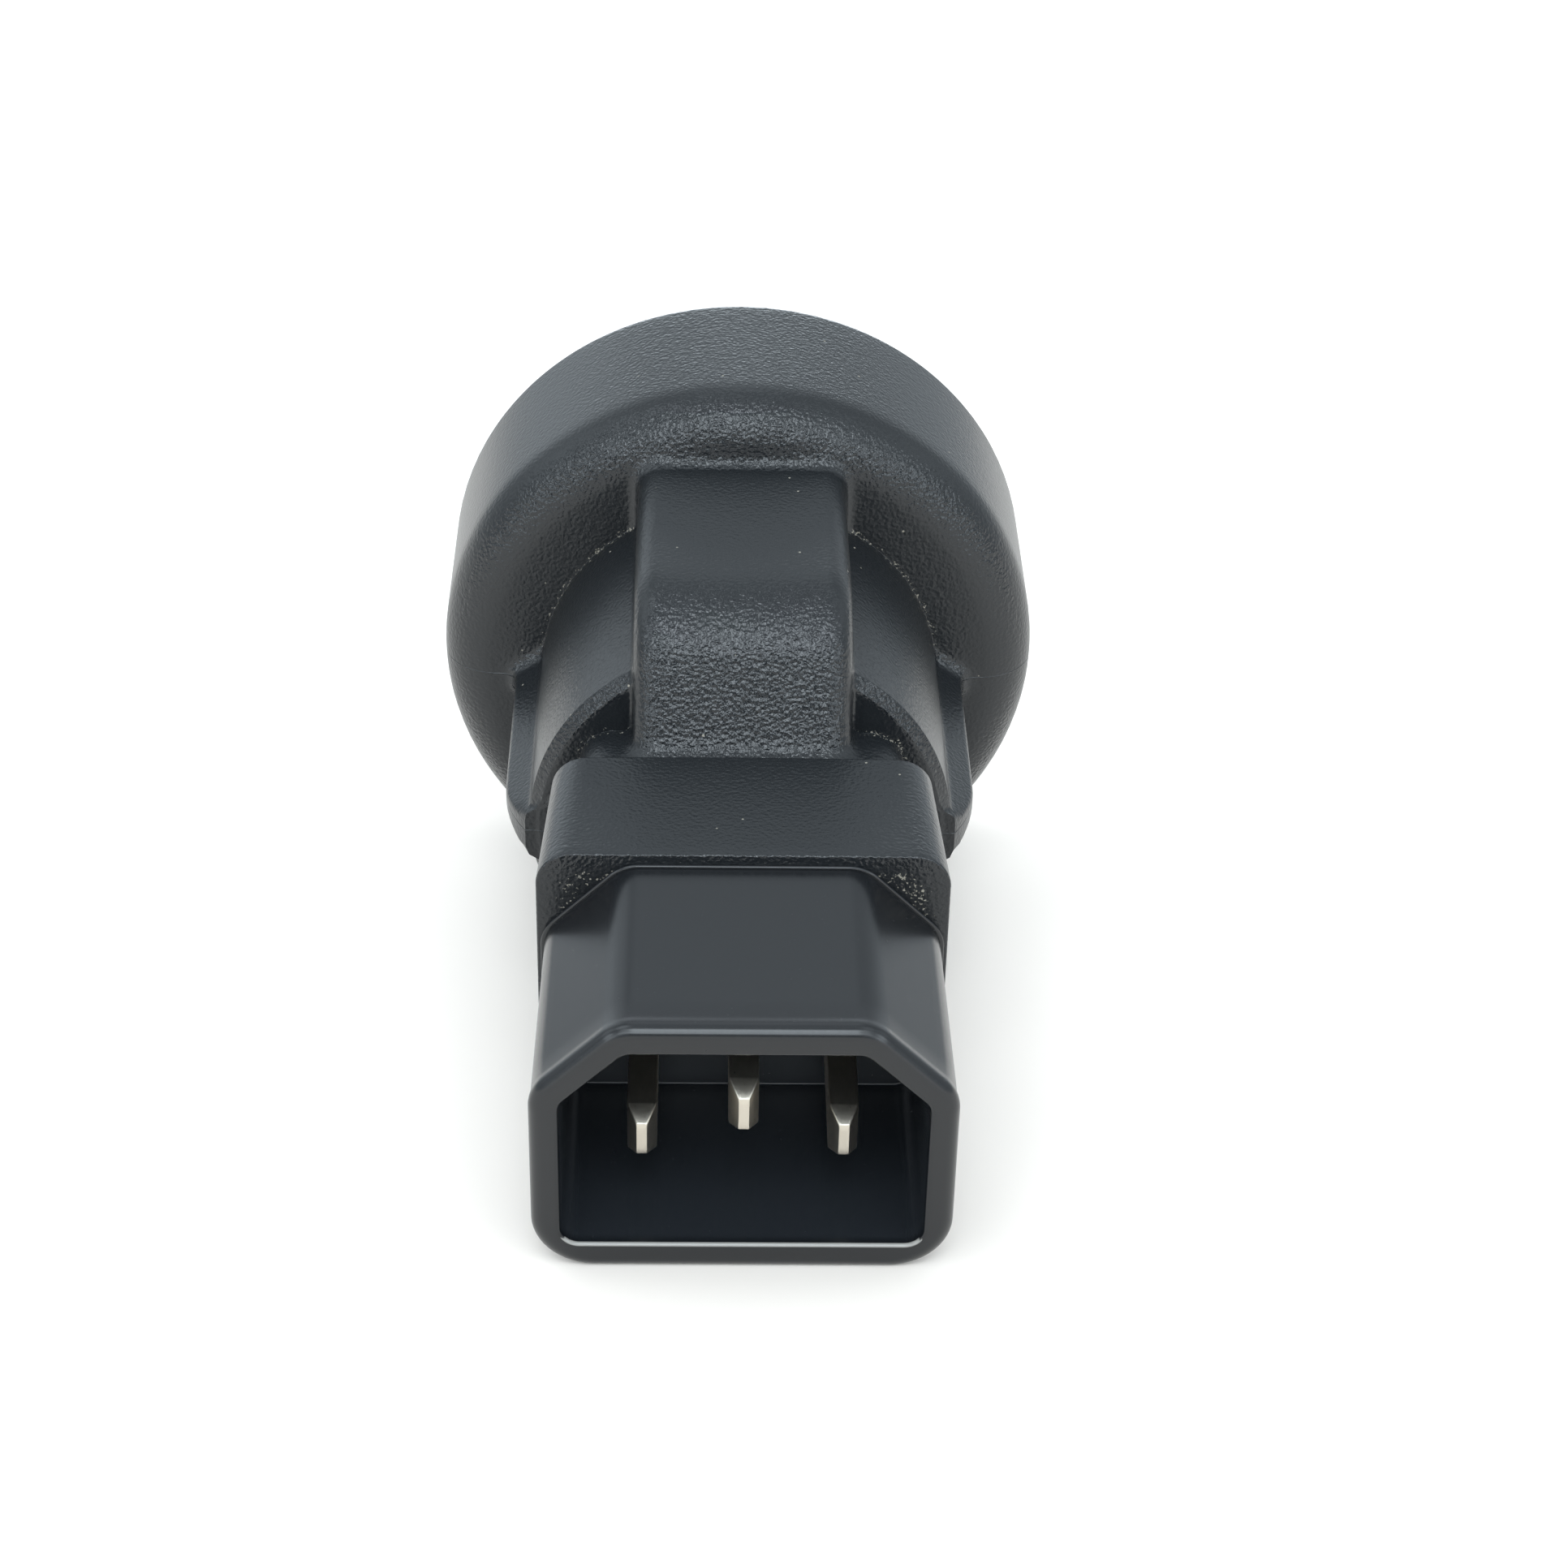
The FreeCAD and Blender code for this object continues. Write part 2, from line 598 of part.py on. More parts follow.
def build_earth_block():
    """Blocks above and below the barrel that cover the earth strip, each with a steep rounded front."""
    body = new_body("earth_block_form")
    profile = side_sketch(body, "block_profile")
    rise = "(dims.block_height - dims.block_foot_height)"
    brow = f"dims.block_foot + {rise} / tan(dims.block_front_slope * 1 deg)"
    draw_outline(profile, [
        ("dims.block_toe", "dims.block_inside"),
        ("dims.block_toe", "dims.block_foot_height"),
        ("dims.block_foot", "dims.block_foot_height"),
        (brow, "dims.block_height"),
        ("dims.head_front + dims.join_depth", "dims.block_height"),
        ("dims.head_front + dims.join_depth", "dims.block_inside"),
    ])
    pad_across(body, "block", profile, "dims.block_half_width")
    foot = sheet.block_foot
    foot_height = sheet.block_foot_height
    top = sheet.block_height
    front_of_top = foot + (top - foot_height) / math.tan(math.radians(sheet.block_front_slope))
    round_edges(body, "block_nose", "dims.block_nose_round", lambda edge: (
        edge.BoundBox.XLength > MARGIN and abs(edge.BoundBox.YMin - front_of_top) < ON_STATION
        and abs(edge.BoundBox.YMax - front_of_top) < ON_STATION))
    round_edges(body, "block_foot", "dims.block_foot_round", lambda edge: (
        edge.BoundBox.XLength > MARGIN and abs(edge.BoundBox.YMin - foot) < ON_STATION
        and abs(edge.BoundBox.YMax - foot) < ON_STATION))
    low = foot_height - MARGIN
    past_toe = sheet.block_toe + MARGIN
    round_edges(body, "block_edges", "dims.block_edge_round", lambda edge: (
        edge.BoundBox.XLength < ON_STATION and edge.BoundBox.ZMin > low and edge.BoundBox.YMax > past_toe))
    return body


def solid_cylinder(name, radius, start, end, across):
    """Plain cylinder along the axis between two stations."""
    cylinder = doc.addObject("Part::Cylinder", name)
    cylinder.setExpression("Radius", radius)
    cylinder.setExpression("Height", f"{end} - {start}")
    first = float(cylinder.evalExpression(start))
    aside = float(cylinder.evalExpression(across))
    along_axis = FreeCAD.Rotation(FreeCAD.Vector(1, 0, 0), -90)
    cylinder.Placement = LYING * FreeCAD.Placement(FreeCAD.Vector(aside, first, 0), along_axis)
    return cylinder


def build_overmould(inner_pieces):
    """Soft moulding: the outside form less everything that it is moulded around."""
    upper_block = build_earth_block()
    lower_block = doc.addObject("Part::Mirroring", "lower_block_form")
    lower_block.Source = upper_block
    lower_block.Base = LYING.Base
    lower_block.Normal = LYING.Rotation.multVec(FreeCAD.Vector(0, 0, 1))
    outside = doc.addObject("Part::MultiFuse", "overmould_outside")
    outside.Shapes = [build_overmould_form(), upper_block, lower_block]
    past_rim = "dims.head_rear + dims.join_depth"
    filled = [
        solid_cylinder("cup_space", "dims.cup_radius", "dims.cup_front", past_rim, AXIS),
        solid_cylinder("boss_space", "dims.boss_radius", "dims.boss_front", "dims.cup_front", AXIS),
    ]
    for name, side in (("left_chamber_space", "-1"), ("right_chamber_space", "1")):
        filled.append(solid_cylinder(
            name, "dims.chamber_wall_radius", "dims.chamber_front", "dims.boss_front",
            f"{side} * dims.contact_spread"))
    taken_out = doc.addObject("Part::MultiFuse", "moulded_around")
    taken_out.Shapes = filled + inner_pieces
    overmould = doc.addObject("Part::Cut", "overmould_body")
    overmould.Base = outside
    overmould.Tool = taken_out
    overmould.Label = "overmould_body"
    doc.recompute()
    return overmould


pieces = [
    build_inlet_shroud(),
    build_pin("line_pin", *LINE_AT, "dims.live_tip"),
    build_pin("neutral_pin", *NEUTRAL_AT, "dims.live_tip"),
    build_pin("earth_pin", *EARTH_AT, "dims.earth_tip"),
    build_chamber_cover(),
    build_contact("line_contact", "-1"),
    build_contact("neutral_contact", "1"),
    build_earth_clip(),
]
pieces += build_link("line", *LINE_AT, "dims.link_end", "dims.sleeve_end")
pieces += build_link("neutral", *NEUTRAL_AT, "dims.link_end", "dims.sleeve_end")
pieces += build_link("earth", *EARTH_AT, "dims.strip_front + dims.strip_thickness", "dims.earth_sleeve_end")
overmould_body = build_overmould(list(pieces))
pieces += [build_socket_insert(), overmould_body]

doc.recompute()
failed = [item.Label for item in doc.Objects if "Invalid" in item.State or "Error" in item.State]
if failed:
    raise RuntimeError(f"not built: {failed}")
for piece in pieces:
    if piece.Shape.isNull() or not piece.Shape.isValid() or not piece.Shape.Solids:
        raise RuntimeError(f"no valid solid: {piece.Label}")

os.makedirs("parts", exist_ok=True)
for piece in pieces:
    piece.Shape.exportStep(f"parts/{piece.Label}.step")
    print(piece.Label, len(piece.Shape.Solids), "solid", round(piece.Shape.Volume, 1), "mm3")
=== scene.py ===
import bpy
import json
import math
import numpy as np
from mathutils import Matrix, Vector


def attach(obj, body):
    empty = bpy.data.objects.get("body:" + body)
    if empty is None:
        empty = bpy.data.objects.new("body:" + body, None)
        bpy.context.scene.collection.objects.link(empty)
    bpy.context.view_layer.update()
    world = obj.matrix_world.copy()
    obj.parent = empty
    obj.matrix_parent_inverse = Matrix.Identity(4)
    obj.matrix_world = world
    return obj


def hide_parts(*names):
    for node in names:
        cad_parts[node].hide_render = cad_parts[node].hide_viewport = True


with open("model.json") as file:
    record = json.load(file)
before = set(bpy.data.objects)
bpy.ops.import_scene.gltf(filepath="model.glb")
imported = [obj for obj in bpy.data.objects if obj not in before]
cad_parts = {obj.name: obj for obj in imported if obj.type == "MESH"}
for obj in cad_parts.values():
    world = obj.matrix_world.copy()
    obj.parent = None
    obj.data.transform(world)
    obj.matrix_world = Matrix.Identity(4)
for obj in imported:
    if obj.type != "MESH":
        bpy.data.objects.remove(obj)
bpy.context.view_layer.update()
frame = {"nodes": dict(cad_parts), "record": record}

# Inlet shroud: the hard black plastic box round the pins, with two cut upper corners.
# It is injection moulded in one piece with its base, and the soft body is moulded on behind it.
# Its front lip is rounded outside, and a thin sealing bead runs round it where the body begins.
# Sizes are millimetres on the adapter's own axes: x across, y from the mouth to the socket, z up.
MM = 0.001
SHARP_ANGLE = math.radians(50)
mouth = next(m for m in frame["record"]["mounts"] if m["name"] == "inlet_mouth")
mouth_at = np.array(mouth["pos_m"])
along = -np.array(mouth["axis"])
across = np.array([1.0, 0.0, 0.0])
upward = np.cross(across, along)


def seat(points):
    """Millimetres on the adapter's axes to metres in the row: mouth + x across + y along + z up."""
    return mouth_at + (np.asarray(points) * MM) @ np.stack([across, along, upward])


def arc_angles(start, end, count):
    """Evenly spaced angles from start to end, given in degrees and returned in radians."""
    return np.radians(np.linspace(start, end, count))


def rounded_outline(corners, radii, arc_points, edge_points):
    """Closed outline through convex corners, each replaced by an arc tangent to its two edges.

    An arc of radius r starts r * tan(turn / 2) before its corner. Its centre lies r inwards from
    there, and its points are centre + r (cos a, sin a) from one edge's normal to the next.
    """
    corners = np.asarray(corners, float)
    radii = np.asarray(radii, float)[:, None]
    edge = np.roll(corners, -1, axis=0) - corners
    heading = edge / np.linalg.norm(edge, axis=1, keepdims=True)
    before = np.roll(heading, 1, axis=0)
    crossed = before[:, 0] * heading[:, 1] - before[:, 1] * heading[:, 0]
    turn = np.arctan2(crossed, (before * heading).sum(1))[:, None]
    normal = np.stack([before[:, 1], -before[:, 0]], axis=1)
    centre = corners - before * radii * np.tan(turn / 2) - normal * radii
    angle = np.arctan2(normal[:, 1], normal[:, 0])[:, None] + turn * np.linspace(0, 1, arc_points)
    arc = centre[:, None] + radii[:, None] * np.stack([np.cos(angle), np.sin(angle)], axis=-1)
    following = np.roll(arc[:, 0], -1, axis=0)
    share = np.linspace(0, 1, edge_points + 2)[1:-1, None]
    straight = arc[:, -1][:, None] * (1 - share) + following[:, None] * share
    return np.concatenate([arc, straight], axis=1).reshape(-1, 2)


def grid_quads(rows, columns, ring=False):
    """Corner numbers of a grid's quads; columns always close, and rows close too if ring is set."""
    row = np.arange(rows if ring else rows - 1)[:, None]
    column = np.arange(columns)[None, :]
    here = row * columns
    below = (row + 1) % rows * columns
    right = (column + 1) % columns
    return np.stack([here + column, here + right, below + right, below + column], -1).reshape(-1, 4)


def capped_tube(rows):
    """Points and faces of a closed skin: rows of equal length joined by quads, a fan at each end."""
    rows = np.asarray(rows)
    count, columns = rows.shape[:2]
    points = np.concatenate([rows.reshape(-1, 3), rows[0].mean(0)[None], rows[-1].mean(0)[None]])
    column = np.arange(columns)
    following = (column + 1) % columns
    first_hub = np.full(columns, count * columns)
    last = (count - 1) * columns
    faces = grid_quads(count, columns).tolist()
    faces += np.stack([following, column, first_hub], 1).tolist()
    faces += np.stack([last + column, last + following, first_hub + 1], 1).tolist()
    return points, faces


def turned_out(skin):
    """The same closed skin with its faces turned so that the volume they hold is positive."""
    points, faces = skin
    triangles = np.array([[f[0], f[1], f[2]] for f in faces] + [[f[0], f[2], f[-1]] for f in faces])
    a, b, c = (points[triangles[:, k]] for k in range(3))
    volume = (a * np.cross(b, c)).sum()
    return points, faces if volume > 0 else [face[::-1] for face in faces]


def add_piece(name, skins, material, slot, *nodes, **marks):
    """One mesh object from closed skins in millimetres, seated and put on the body.

    Each of the marks is a value per point that the material reads as an attribute of that name.
    """
    points = np.concatenate([skin_points for skin_points, skin_faces in skins])
    starts = np.cumsum([0] + [len(skin_points) for skin_points, skin_faces in skins])
    faces = []
    for start, (skin_points, skin_faces) in zip(starts.tolist(), skins):
        faces += [[start + corner for corner in face] for face in skin_faces]
    mesh = bpy.data.meshes.new(name)
    mesh.from_pydata(seat(points).tolist(), [], faces)
    mesh.shade_smooth()
    mesh.set_sharp_from_angle(angle=SHARP_ANGLE)
    for label, values in marks.items():
        layer = mesh.attributes.new(label, "FLOAT", "POINT")
        layer.data.foreach_set("value", np.asarray(values, np.float32).ravel())
    piece = bpy.data.objects.new(name, mesh)
    bpy.context.scene.collection.objects.link(piece)
    mesh.materials.append(material)
    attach(piece, "root")
    if nodes:
        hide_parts(*nodes)
    return piece


SHROUD_HALF_WIDTH, SHROUD_TOP, SHROUD_BOTTOM = 14.62, 10.58, 10.67
SHROUD_CHAMFER, SHROUD_CORNER, SHROUD_FOOT_CORNER = 5.88, 3.2, 4.2
SHROUD_LENGTH, SHROUD_BASE_END = 19.0, 24.0
SHROUD_DRAFT = math.tan(math.radians(0.8))
LIP_ROUND, MOUTH_ROUND, FLOOR_ROUND, LIP_PROUD = 0.90, 0.30, 0.15, 0.10
CAVITY_HALF_WIDTH, CAVITY_HALF_HEIGHT, CAVITY_CHAMFER = 12.56, 8.40, 4.42
CAVITY_CORNER, CAVITY_LEAST_CORNER, CAVITY_DEPTH = 1.3, 0.3, 17.4
FLOOR_INSETS, BASE_INSET = (6.0, 3.0, 1.2), 6.0
LIP_RUNOUT = ((0.25, 0.02), (0.5, 0.07))
BEAD_WIDTH, BEAD_HEIGHT, BEAD_GAP = 0.40, 0.28, 0.05
# Height over the cavity's floor of the mouth's lower edge that is painted pale: a painted highlight, partly
# dust.
PALE_BAND = 0.5
# When an outline is drawn in by an inset, its cut corners and its round corners shrink by these shares.
CHAMFER_SHRINK, CORNER_SHRINK = 2 - math.sqrt(2), 0.5


def inlet_row(y, half_width, top, bottom, chamfer, radius, foot_radius):
    """The inlet's outline at station y: a box with two cut upper corners, all corners rounded."""
    right = [(half_width, -bottom), (half_width, top - chamfer), (half_width - chamfer, top)]
    left = [(-x, z) for x, z in reversed(right)]
    shape = rounded_outline(right + left, [foot_radius] + [radius] * 4 + [foot_radius], 14, 9)
    return np.stack([shape[:, 0], np.full(len(shape), y), shape[:, 1]], axis=1)


def cavity_row(y, inset):
    """Row of the cavity at depth y, its outline drawn in by inset."""
    height = CAVITY_HALF_HEIGHT - inset
    chamfer = CAVITY_CHAMFER - CHAMFER_SHRINK * inset
    corner = max(CAVITY_CORNER - inset, CAVITY_LEAST_CORNER)
    return inlet_row(y, CAVITY_HALF_WIDTH - inset, height, height, chamfer, corner, corner)


def shroud_row(y, inset):
    """Row of the outside at station y, its outline drawn in by inset."""
    chamfer = SHROUD_CHAMFER - CHAMFER_SHRINK * inset
    return inlet_row(y, SHROUD_HALF_WIDTH - inset, SHROUD_TOP - inset, SHROUD_BOTTOM - inset, chamfer,
                     SHROUD_CORNER - CORNER_SHRINK * inset, SHROUD_FOOT_CORNER - CORNER_SHRINK * inset)


cavity_rows = [cavity_row(CAVITY_DEPTH, inset) for inset in (*FLOOR_INSETS, FLOOR_ROUND)]
cavity_rows += [cavity_row(CAVITY_DEPTH - FLOOR_ROUND * (1 - math.cos(a)), FLOOR_ROUND * (1 - math.sin(a)))
                for a in arc_angles(15, 90, 6)]
cavity_rows += [cavity_row(y, 0) for y in np.linspace(CAVITY_DEPTH - 2, 1.0, 9)]
mouth_rows = [cavity_row(MOUTH_ROUND * (1 - math.sin(a)), -MOUTH_ROUND * (1 - math.cos(a)))
              for a in arc_angles(0, 90, 7)]
lip_rows = [shroud_row(LIP_ROUND * (1 - math.cos(a)), LIP_ROUND * (1 - math.sin(a)))
            for a in arc_angles(0, 90, 14)]
bead_start = SHROUD_LENGTH - BEAD_WIDTH
bead_inset = SHROUD_DRAFT * bead_start + LIP_PROUD
wall_rows = [shroud_row(LIP_ROUND + behind, inset) for behind, inset in LIP_RUNOUT]
wall_rows += [shroud_row(y, SHROUD_DRAFT * y + LIP_PROUD) for y in np.linspace(1.8, SHROUD_LENGTH - 1.0, 10)]
wall_rows += [shroud_row(bead_start - BEAD_GAP, bead_inset)]
wall_rows += [shroud_row(bead_start + BEAD_WIDTH * (1 - math.cos(a)) / 2,
                         bead_inset - BEAD_HEIGHT * math.sin(a) ** 0.5) for a in arc_angles(0, 90, 8)]
wall_rows += [shroud_row(SHROUD_LENGTH + 0.3, bead_inset), shroud_row(SHROUD_BASE_END, bead_inset + 0.1),
              shroud_row(SHROUD_BASE_END, BASE_INSET)]
rows = cavity_rows + mouth_rows + lip_rows + wall_rows
# Two marks for the material: the cavity's inside, painted lighter as a painted lift of light in the recess
# and partly a film of dust, and the lower edge of its mouth, painted pale as a painted highlight and partly
# dust.
columns = len(rows[0])
inside = np.repeat([1.0] * len(cavity_rows) + [0.0] * (len(rows) - len(cavity_rows)), columns)
inside = np.concatenate([inside, [1.0, 0.0]])
row_number = np.repeat(np.arange(len(rows)), columns) - len(cavity_rows)
at_mouth = (row_number > 0) & (row_number < len(mouth_rows) - 2)
# The mouth's lower edge within this band gets the painted highlight, partly dust.
lower_edge = at_mouth & (np.concatenate(rows)[:, 2] < PALE_BAND - CAVITY_HALF_HEIGHT)
lower_edge = np.concatenate([lower_edge, [False, False]])


def linear(code):
    """sRGB hex colour to linear RGBA: c / 12.92 below 0.04045, else ((c + 0.055) / 1.055) ** 2.4."""
    channels = np.array([int(code[k:k + 2], 16) for k in (1, 3, 5)]) / 255
    low, high = channels / 12.92, ((channels + 0.055) / 1.055) ** 2.4
    return (*np.where(channels <= 0.04045, low, high).tolist(), 1.0)


def add_node(tree, kind, settings=None, links=None):
    """Add one shader node: settings are its properties or input values, links feed its inputs."""
    node = tree.nodes.new(kind)
    for name, value in (settings or {}).items():
        if isinstance(name, str) and hasattr(node, name):
            setattr(node, name, value)
        else:
            node.inputs[name].default_value = value
    for name, source in (links or {}).items():
        tree.links.new(source, node.inputs[name])
    return node


def new_material(name):
    """A new node material, its tree and its Principled shader."""
    material = bpy.data.materials.new(name)
    material.use_nodes = True
    tree = material.node_tree
    return material, tree, tree.nodes["Principled BSDF"]


# Glass-filled polyester, moulded in a polished mould: even, dark and satin, with a faint
# orange-peel and fine handling marks that break the sheen. The cavity's inside is painted a lighter grey,
# partly a film of dust and partly painted light lifted into the recess, and the lower edge of its mouth is
# painted pale, partly dust and partly a painted highlight along the edge.
PEEL_MM, PEEL_DEPTH_MM, MARKS_MM = 1.8, 0.01, 0.25
hard_plastic, tree, shader = new_material("polyester_satin_moulded")
place = add_node(tree, "ShaderNodeTexCoord").outputs["Object"]
peel = add_node(tree, "ShaderNodeTexNoise", {"Scale": 1 / (PEEL_MM * MM), "Detail": 1.0}, {"Vector": place})
marks = add_node(tree, "ShaderNodeTexNoise", {"Scale": 1 / (MARKS_MM * MM), "Detail": 3.0}, {"Vector": place})
rough = add_node(tree, "ShaderNodeMapRange", {"To Min": 0.20, "To Max": 0.30},
                 {"Value": marks.outputs["Fac"]})
bump = add_node(tree, "ShaderNodeBump", {"Strength": 0.25, "Distance": PEEL_DEPTH_MM * MM},
                {"Height": peel.outputs["Fac"]})
# The cavity's inside is painted lighter: a painted lift of light in the recess, partly a film of dust.
recess_lift_and_dust = add_node(tree, "ShaderNodeAttribute", {"attribute_name": "inside"}).outputs["Fac"]
tint = add_node(tree, "ShaderNodeMix", {"data_type": "RGBA", 6: linear("#111316"), 7: linear("#222529")},
                {0: recess_lift_and_dust})
# The mouth's lower edge is painted pale: a painted highlight along the edge, partly dust.
edge_highlight_and_dust = add_node(tree, "ShaderNodeAttribute", {"attribute_name": "lower_edge"}).outputs["Fac"]
tint = add_node(tree, "ShaderNodeMix", {"data_type": "RGBA", 7: linear("#8c8a86")},
                {0: edge_highlight_and_dust, 6: tint.outputs[2]})
tree.links.new(tint.outputs[2], shader.inputs["Base Color"])
shader.inputs["IOR"].default_value = 1.52
tree.links.new(rough.outputs["Result"], shader.inputs["Roughness"])
tree.links.new(bump.outputs["Normal"], shader.inputs["Normal"])
add_piece("inlet_shroud_skin", [turned_out(capped_tube(rows))], hard_plastic, "hard_black_plastic",
          "inlet_shroud", inside=inside, lower_edge=lower_edge)

# Pins: two live pins and a longer earth pin, flat brass bars with bevelled tips.
# They are stamped, coined at the tip, nickel plated and moulded into the shroud's base.
PIN_HALF_WIDTH, PIN_HALF_HEIGHT, PIN_EDGE = 1.03, 2.0, 0.12
TIP_HALF_WIDTH, TIP_HALF_HEIGHT, TIP_LENGTH = 0.38, 1.35, 1.5
PIN_SPREAD, PIN_DROP, LIVE_TIP, EARTH_TIP, PIN_END = 7.0, 2.0, 3.70, 1.65, 23.0
CRIMP_RADIUS, CRIMP_MOUTH_RADIUS, CRIMP_END, CRIMP_EDGE, CRIMP_SIDES = 1.40, 1.2, 30.5, 0.2, 24


def pin_skin(x, z, tip):
    """Bar with rounded edges whose section shrinks over the bevel to the tip's small front face."""
    stations = [(tip, 0.55), (tip, 0.93), (tip + 0.04, 1.0)]
    sections = [(TIP_HALF_WIDTH * k, TIP_HALF_HEIGHT * k, y) for y, k in stations]
    for share in (0.06, 0.5, 0.94):
        sections.append((TIP_HALF_WIDTH + (PIN_HALF_WIDTH - TIP_HALF_WIDTH) * share,
                         TIP_HALF_HEIGHT + (PIN_HALF_HEIGHT - TIP_HALF_HEIGHT) * share,
                         tip + TIP_LENGTH * share))
    sections += [(PIN_HALF_WIDTH, PIN_HALF_HEIGHT, y) for y in (tip + TIP_LENGTH + 0.1, 10.0, PIN_END)]
    skin = []
    for half_width, half_height, y in sections:
        corners = [(half_width, -half_height), (half_width, half_height),
                   (-half_width, half_height), (-half_width, -half_height)]
        shape = rounded_outline(corners, [PIN_EDGE] * 4, 5, 3)
        skin.append(np.stack([shape[:, 0] + x, np.full(len(shape), y), shape[:, 1] + z], axis=1))
    return turned_out(capped_tube(skin))


def barrel_skin(x, z):
    """Round crimp barrel behind the pin, a plain turned cylinder with softened ends."""
    turn = np.linspace(0, 2 * np.pi, CRIMP_SIDES, endpoint=False)
    rings = ((PIN_END, CRIMP_MOUTH_RADIUS), (PIN_END + CRIMP_EDGE, CRIMP_RADIUS),
             (CRIMP_END - CRIMP_EDGE, CRIMP_RADIUS), (CRIMP_END, CRIMP_MOUTH_RADIUS))
    skin = [np.stack([x + radius * np.sin(turn), np.full(len(turn), y), z + radius * np.cos(turn)], axis=1)
            for y, radius in rings]
    return turned_out(capped_tube(skin))


# Nickel plate on brass, stamped and tumbled: warm grey metal with soft scratches along the pin.
SCRATCH_MM, SCRATCH_DEPTH_MM, SCRATCH_STRETCH = 0.12, 0.01, 0.06
nickel, tree, shader = new_material("nickel_plated_brass")
place = add_node(tree, "ShaderNodeTexCoord").outputs["Object"]
drawn = add_node(tree, "ShaderNodeMapping", {"Scale": (1.0, SCRATCH_STRETCH, 1.0)}, {"Vector": place})
scratch = add_node(tree, "ShaderNodeTexNoise", {"Scale": 1 / (SCRATCH_MM * MM), "Detail": 2.0},
                   {"Vector": drawn.outputs["Vector"]})
rough = add_node(tree, "ShaderNodeMapRange", {"To Min": 0.22, "To Max": 0.45},
                 {"Value": scratch.outputs["Fac"]})
bump = add_node(tree, "ShaderNodeBump", {"Strength": 0.3, "Distance": SCRATCH_DEPTH_MM * MM},
                {"Height": scratch.outputs["Fac"]})
shader.inputs["Base Color"].default_value = linear("#cfc8bb")
shader.inputs["Metallic"].default_value = 1.0
tree.links.new(rough.outputs["Result"], shader.inputs["Roughness"])
tree.links.new(bump.outputs["Normal"], shader.inputs["Normal"])
PINS = (("line_pin", -PIN_SPREAD, -PIN_DROP, LIVE_TIP), ("neutral_pin", PIN_SPREAD, -PIN_DROP, LIVE_TIP),
        ("earth_pin", 0.0, PIN_DROP, EARTH_TIP))
for name, x, z, tip in PINS:
    add_piece(f"{name}_skin", [pin_skin(x, z, tip), barrel_skin(x, z)], nickel, "nickel_plate", name)

# Links inside the body: a copper core from each pin's barrel to its contact, crimped at both ends,
# in an extruded PVC sleeve that is brown for line, blue for neutral and green for earth.
DRAW_MM, SLEEVE_MM = 0.15, 0.4


def finish_nodes(material, *names):
    """Give carried-over nodes this material in place of their plain one."""
    for name in names:
        slots = frame["nodes"][name].data.materials
        slots.clear()
        slots.append(material)


def add_finish(tree, shader, size, low, high, depth):
    """Noise of a real size in millimetres: roughness from low to high, and bumps of this depth."""
    place = add_node(tree, "ShaderNodeTexCoord").outputs["Object"]
    noise = add_node(tree, "ShaderNodeTexNoise", {"Scale": 1 / (size * MM), "Detail": 2.0}, {"Vector": place})
    rough = add_node(tree, "ShaderNodeMapRange", {"To Min": low, "To Max": high},
                     {"Value": noise.outputs["Fac"]})
    bump = add_node(tree, "ShaderNodeBump", {"Strength": 0.5, "Distance": depth * MM},
                    {"Height": noise.outputs["Fac"]})
    tree.links.new(rough.outputs["Result"], shader.inputs["Roughness"])
    tree.links.new(bump.outputs["Normal"], shader.inputs["Normal"])


# Drawn copper wire: bright warm metal, dulled by fine drawing marks.
copper, tree, shader = new_material("drawn_copper")
shader.inputs["Base Color"].default_value = linear("#d99a76")
shader.inputs["Metallic"].default_value = 1.0
add_finish(tree, shader, DRAW_MM, 0.22, 0.40, 0.01)
# Extruded PVC sleeve: an even colour with the soft, slightly wavy gloss of an extrusion.
for wire, colour in (("line", "#5f3f28"), ("neutral", "#2659ad"), ("earth", "#5aa03c")):
    sleeve, tree, shader = new_material(f"{wire}_pvc_sleeve_extruded")
    shader.inputs["Base Color"].default_value = linear(colour)
    add_finish(tree, shader, SLEEVE_MM, 0.35, 0.50, 0.02)
    finish_nodes(sleeve, f"{wire}_insulation")
    finish_nodes(copper, f"{wire}_conductor")

# Contacts, cover and earth strip: sprung split sleeves that grip the plug's round pins, the plate that
# closes their chambers, and a stamped strip bent to a U. The strip's bridge is soldered to the earth
# link, and its arms run through the blocks to the two clips at the recess's top and bottom.
STRIP_HALF_WIDTH, STRIP_HALF_THICKNESS, STRIP_EDGE, STRIP_BEND = 3.5, 0.4, 0.15, 1.5
BRIDGE_Y, ARM_Z = 43.0, 18.0
CLIP_RUN = np.array([(62.6, ARM_Z), (66.5, 18.6), (71.0, 17.3), (76.0, 18.8)])


def eased_run(points, steps):
    """Smooth run through points: height goes from one to the next as (1 - cos(pi s)) / 2."""
    share = np.linspace(0, 1, steps, endpoint=False)
    start, step = points[:-1, None], np.diff(points, axis=0)[:, None]
    along_run = start[..., 0] + step[..., 0] * share
    height = start[..., 1] + step[..., 1] * (1 - np.cos(np.pi * share)) / 2
    return np.concatenate([np.stack([along_run, height], -1).reshape(-1, 2), points[-1:]])


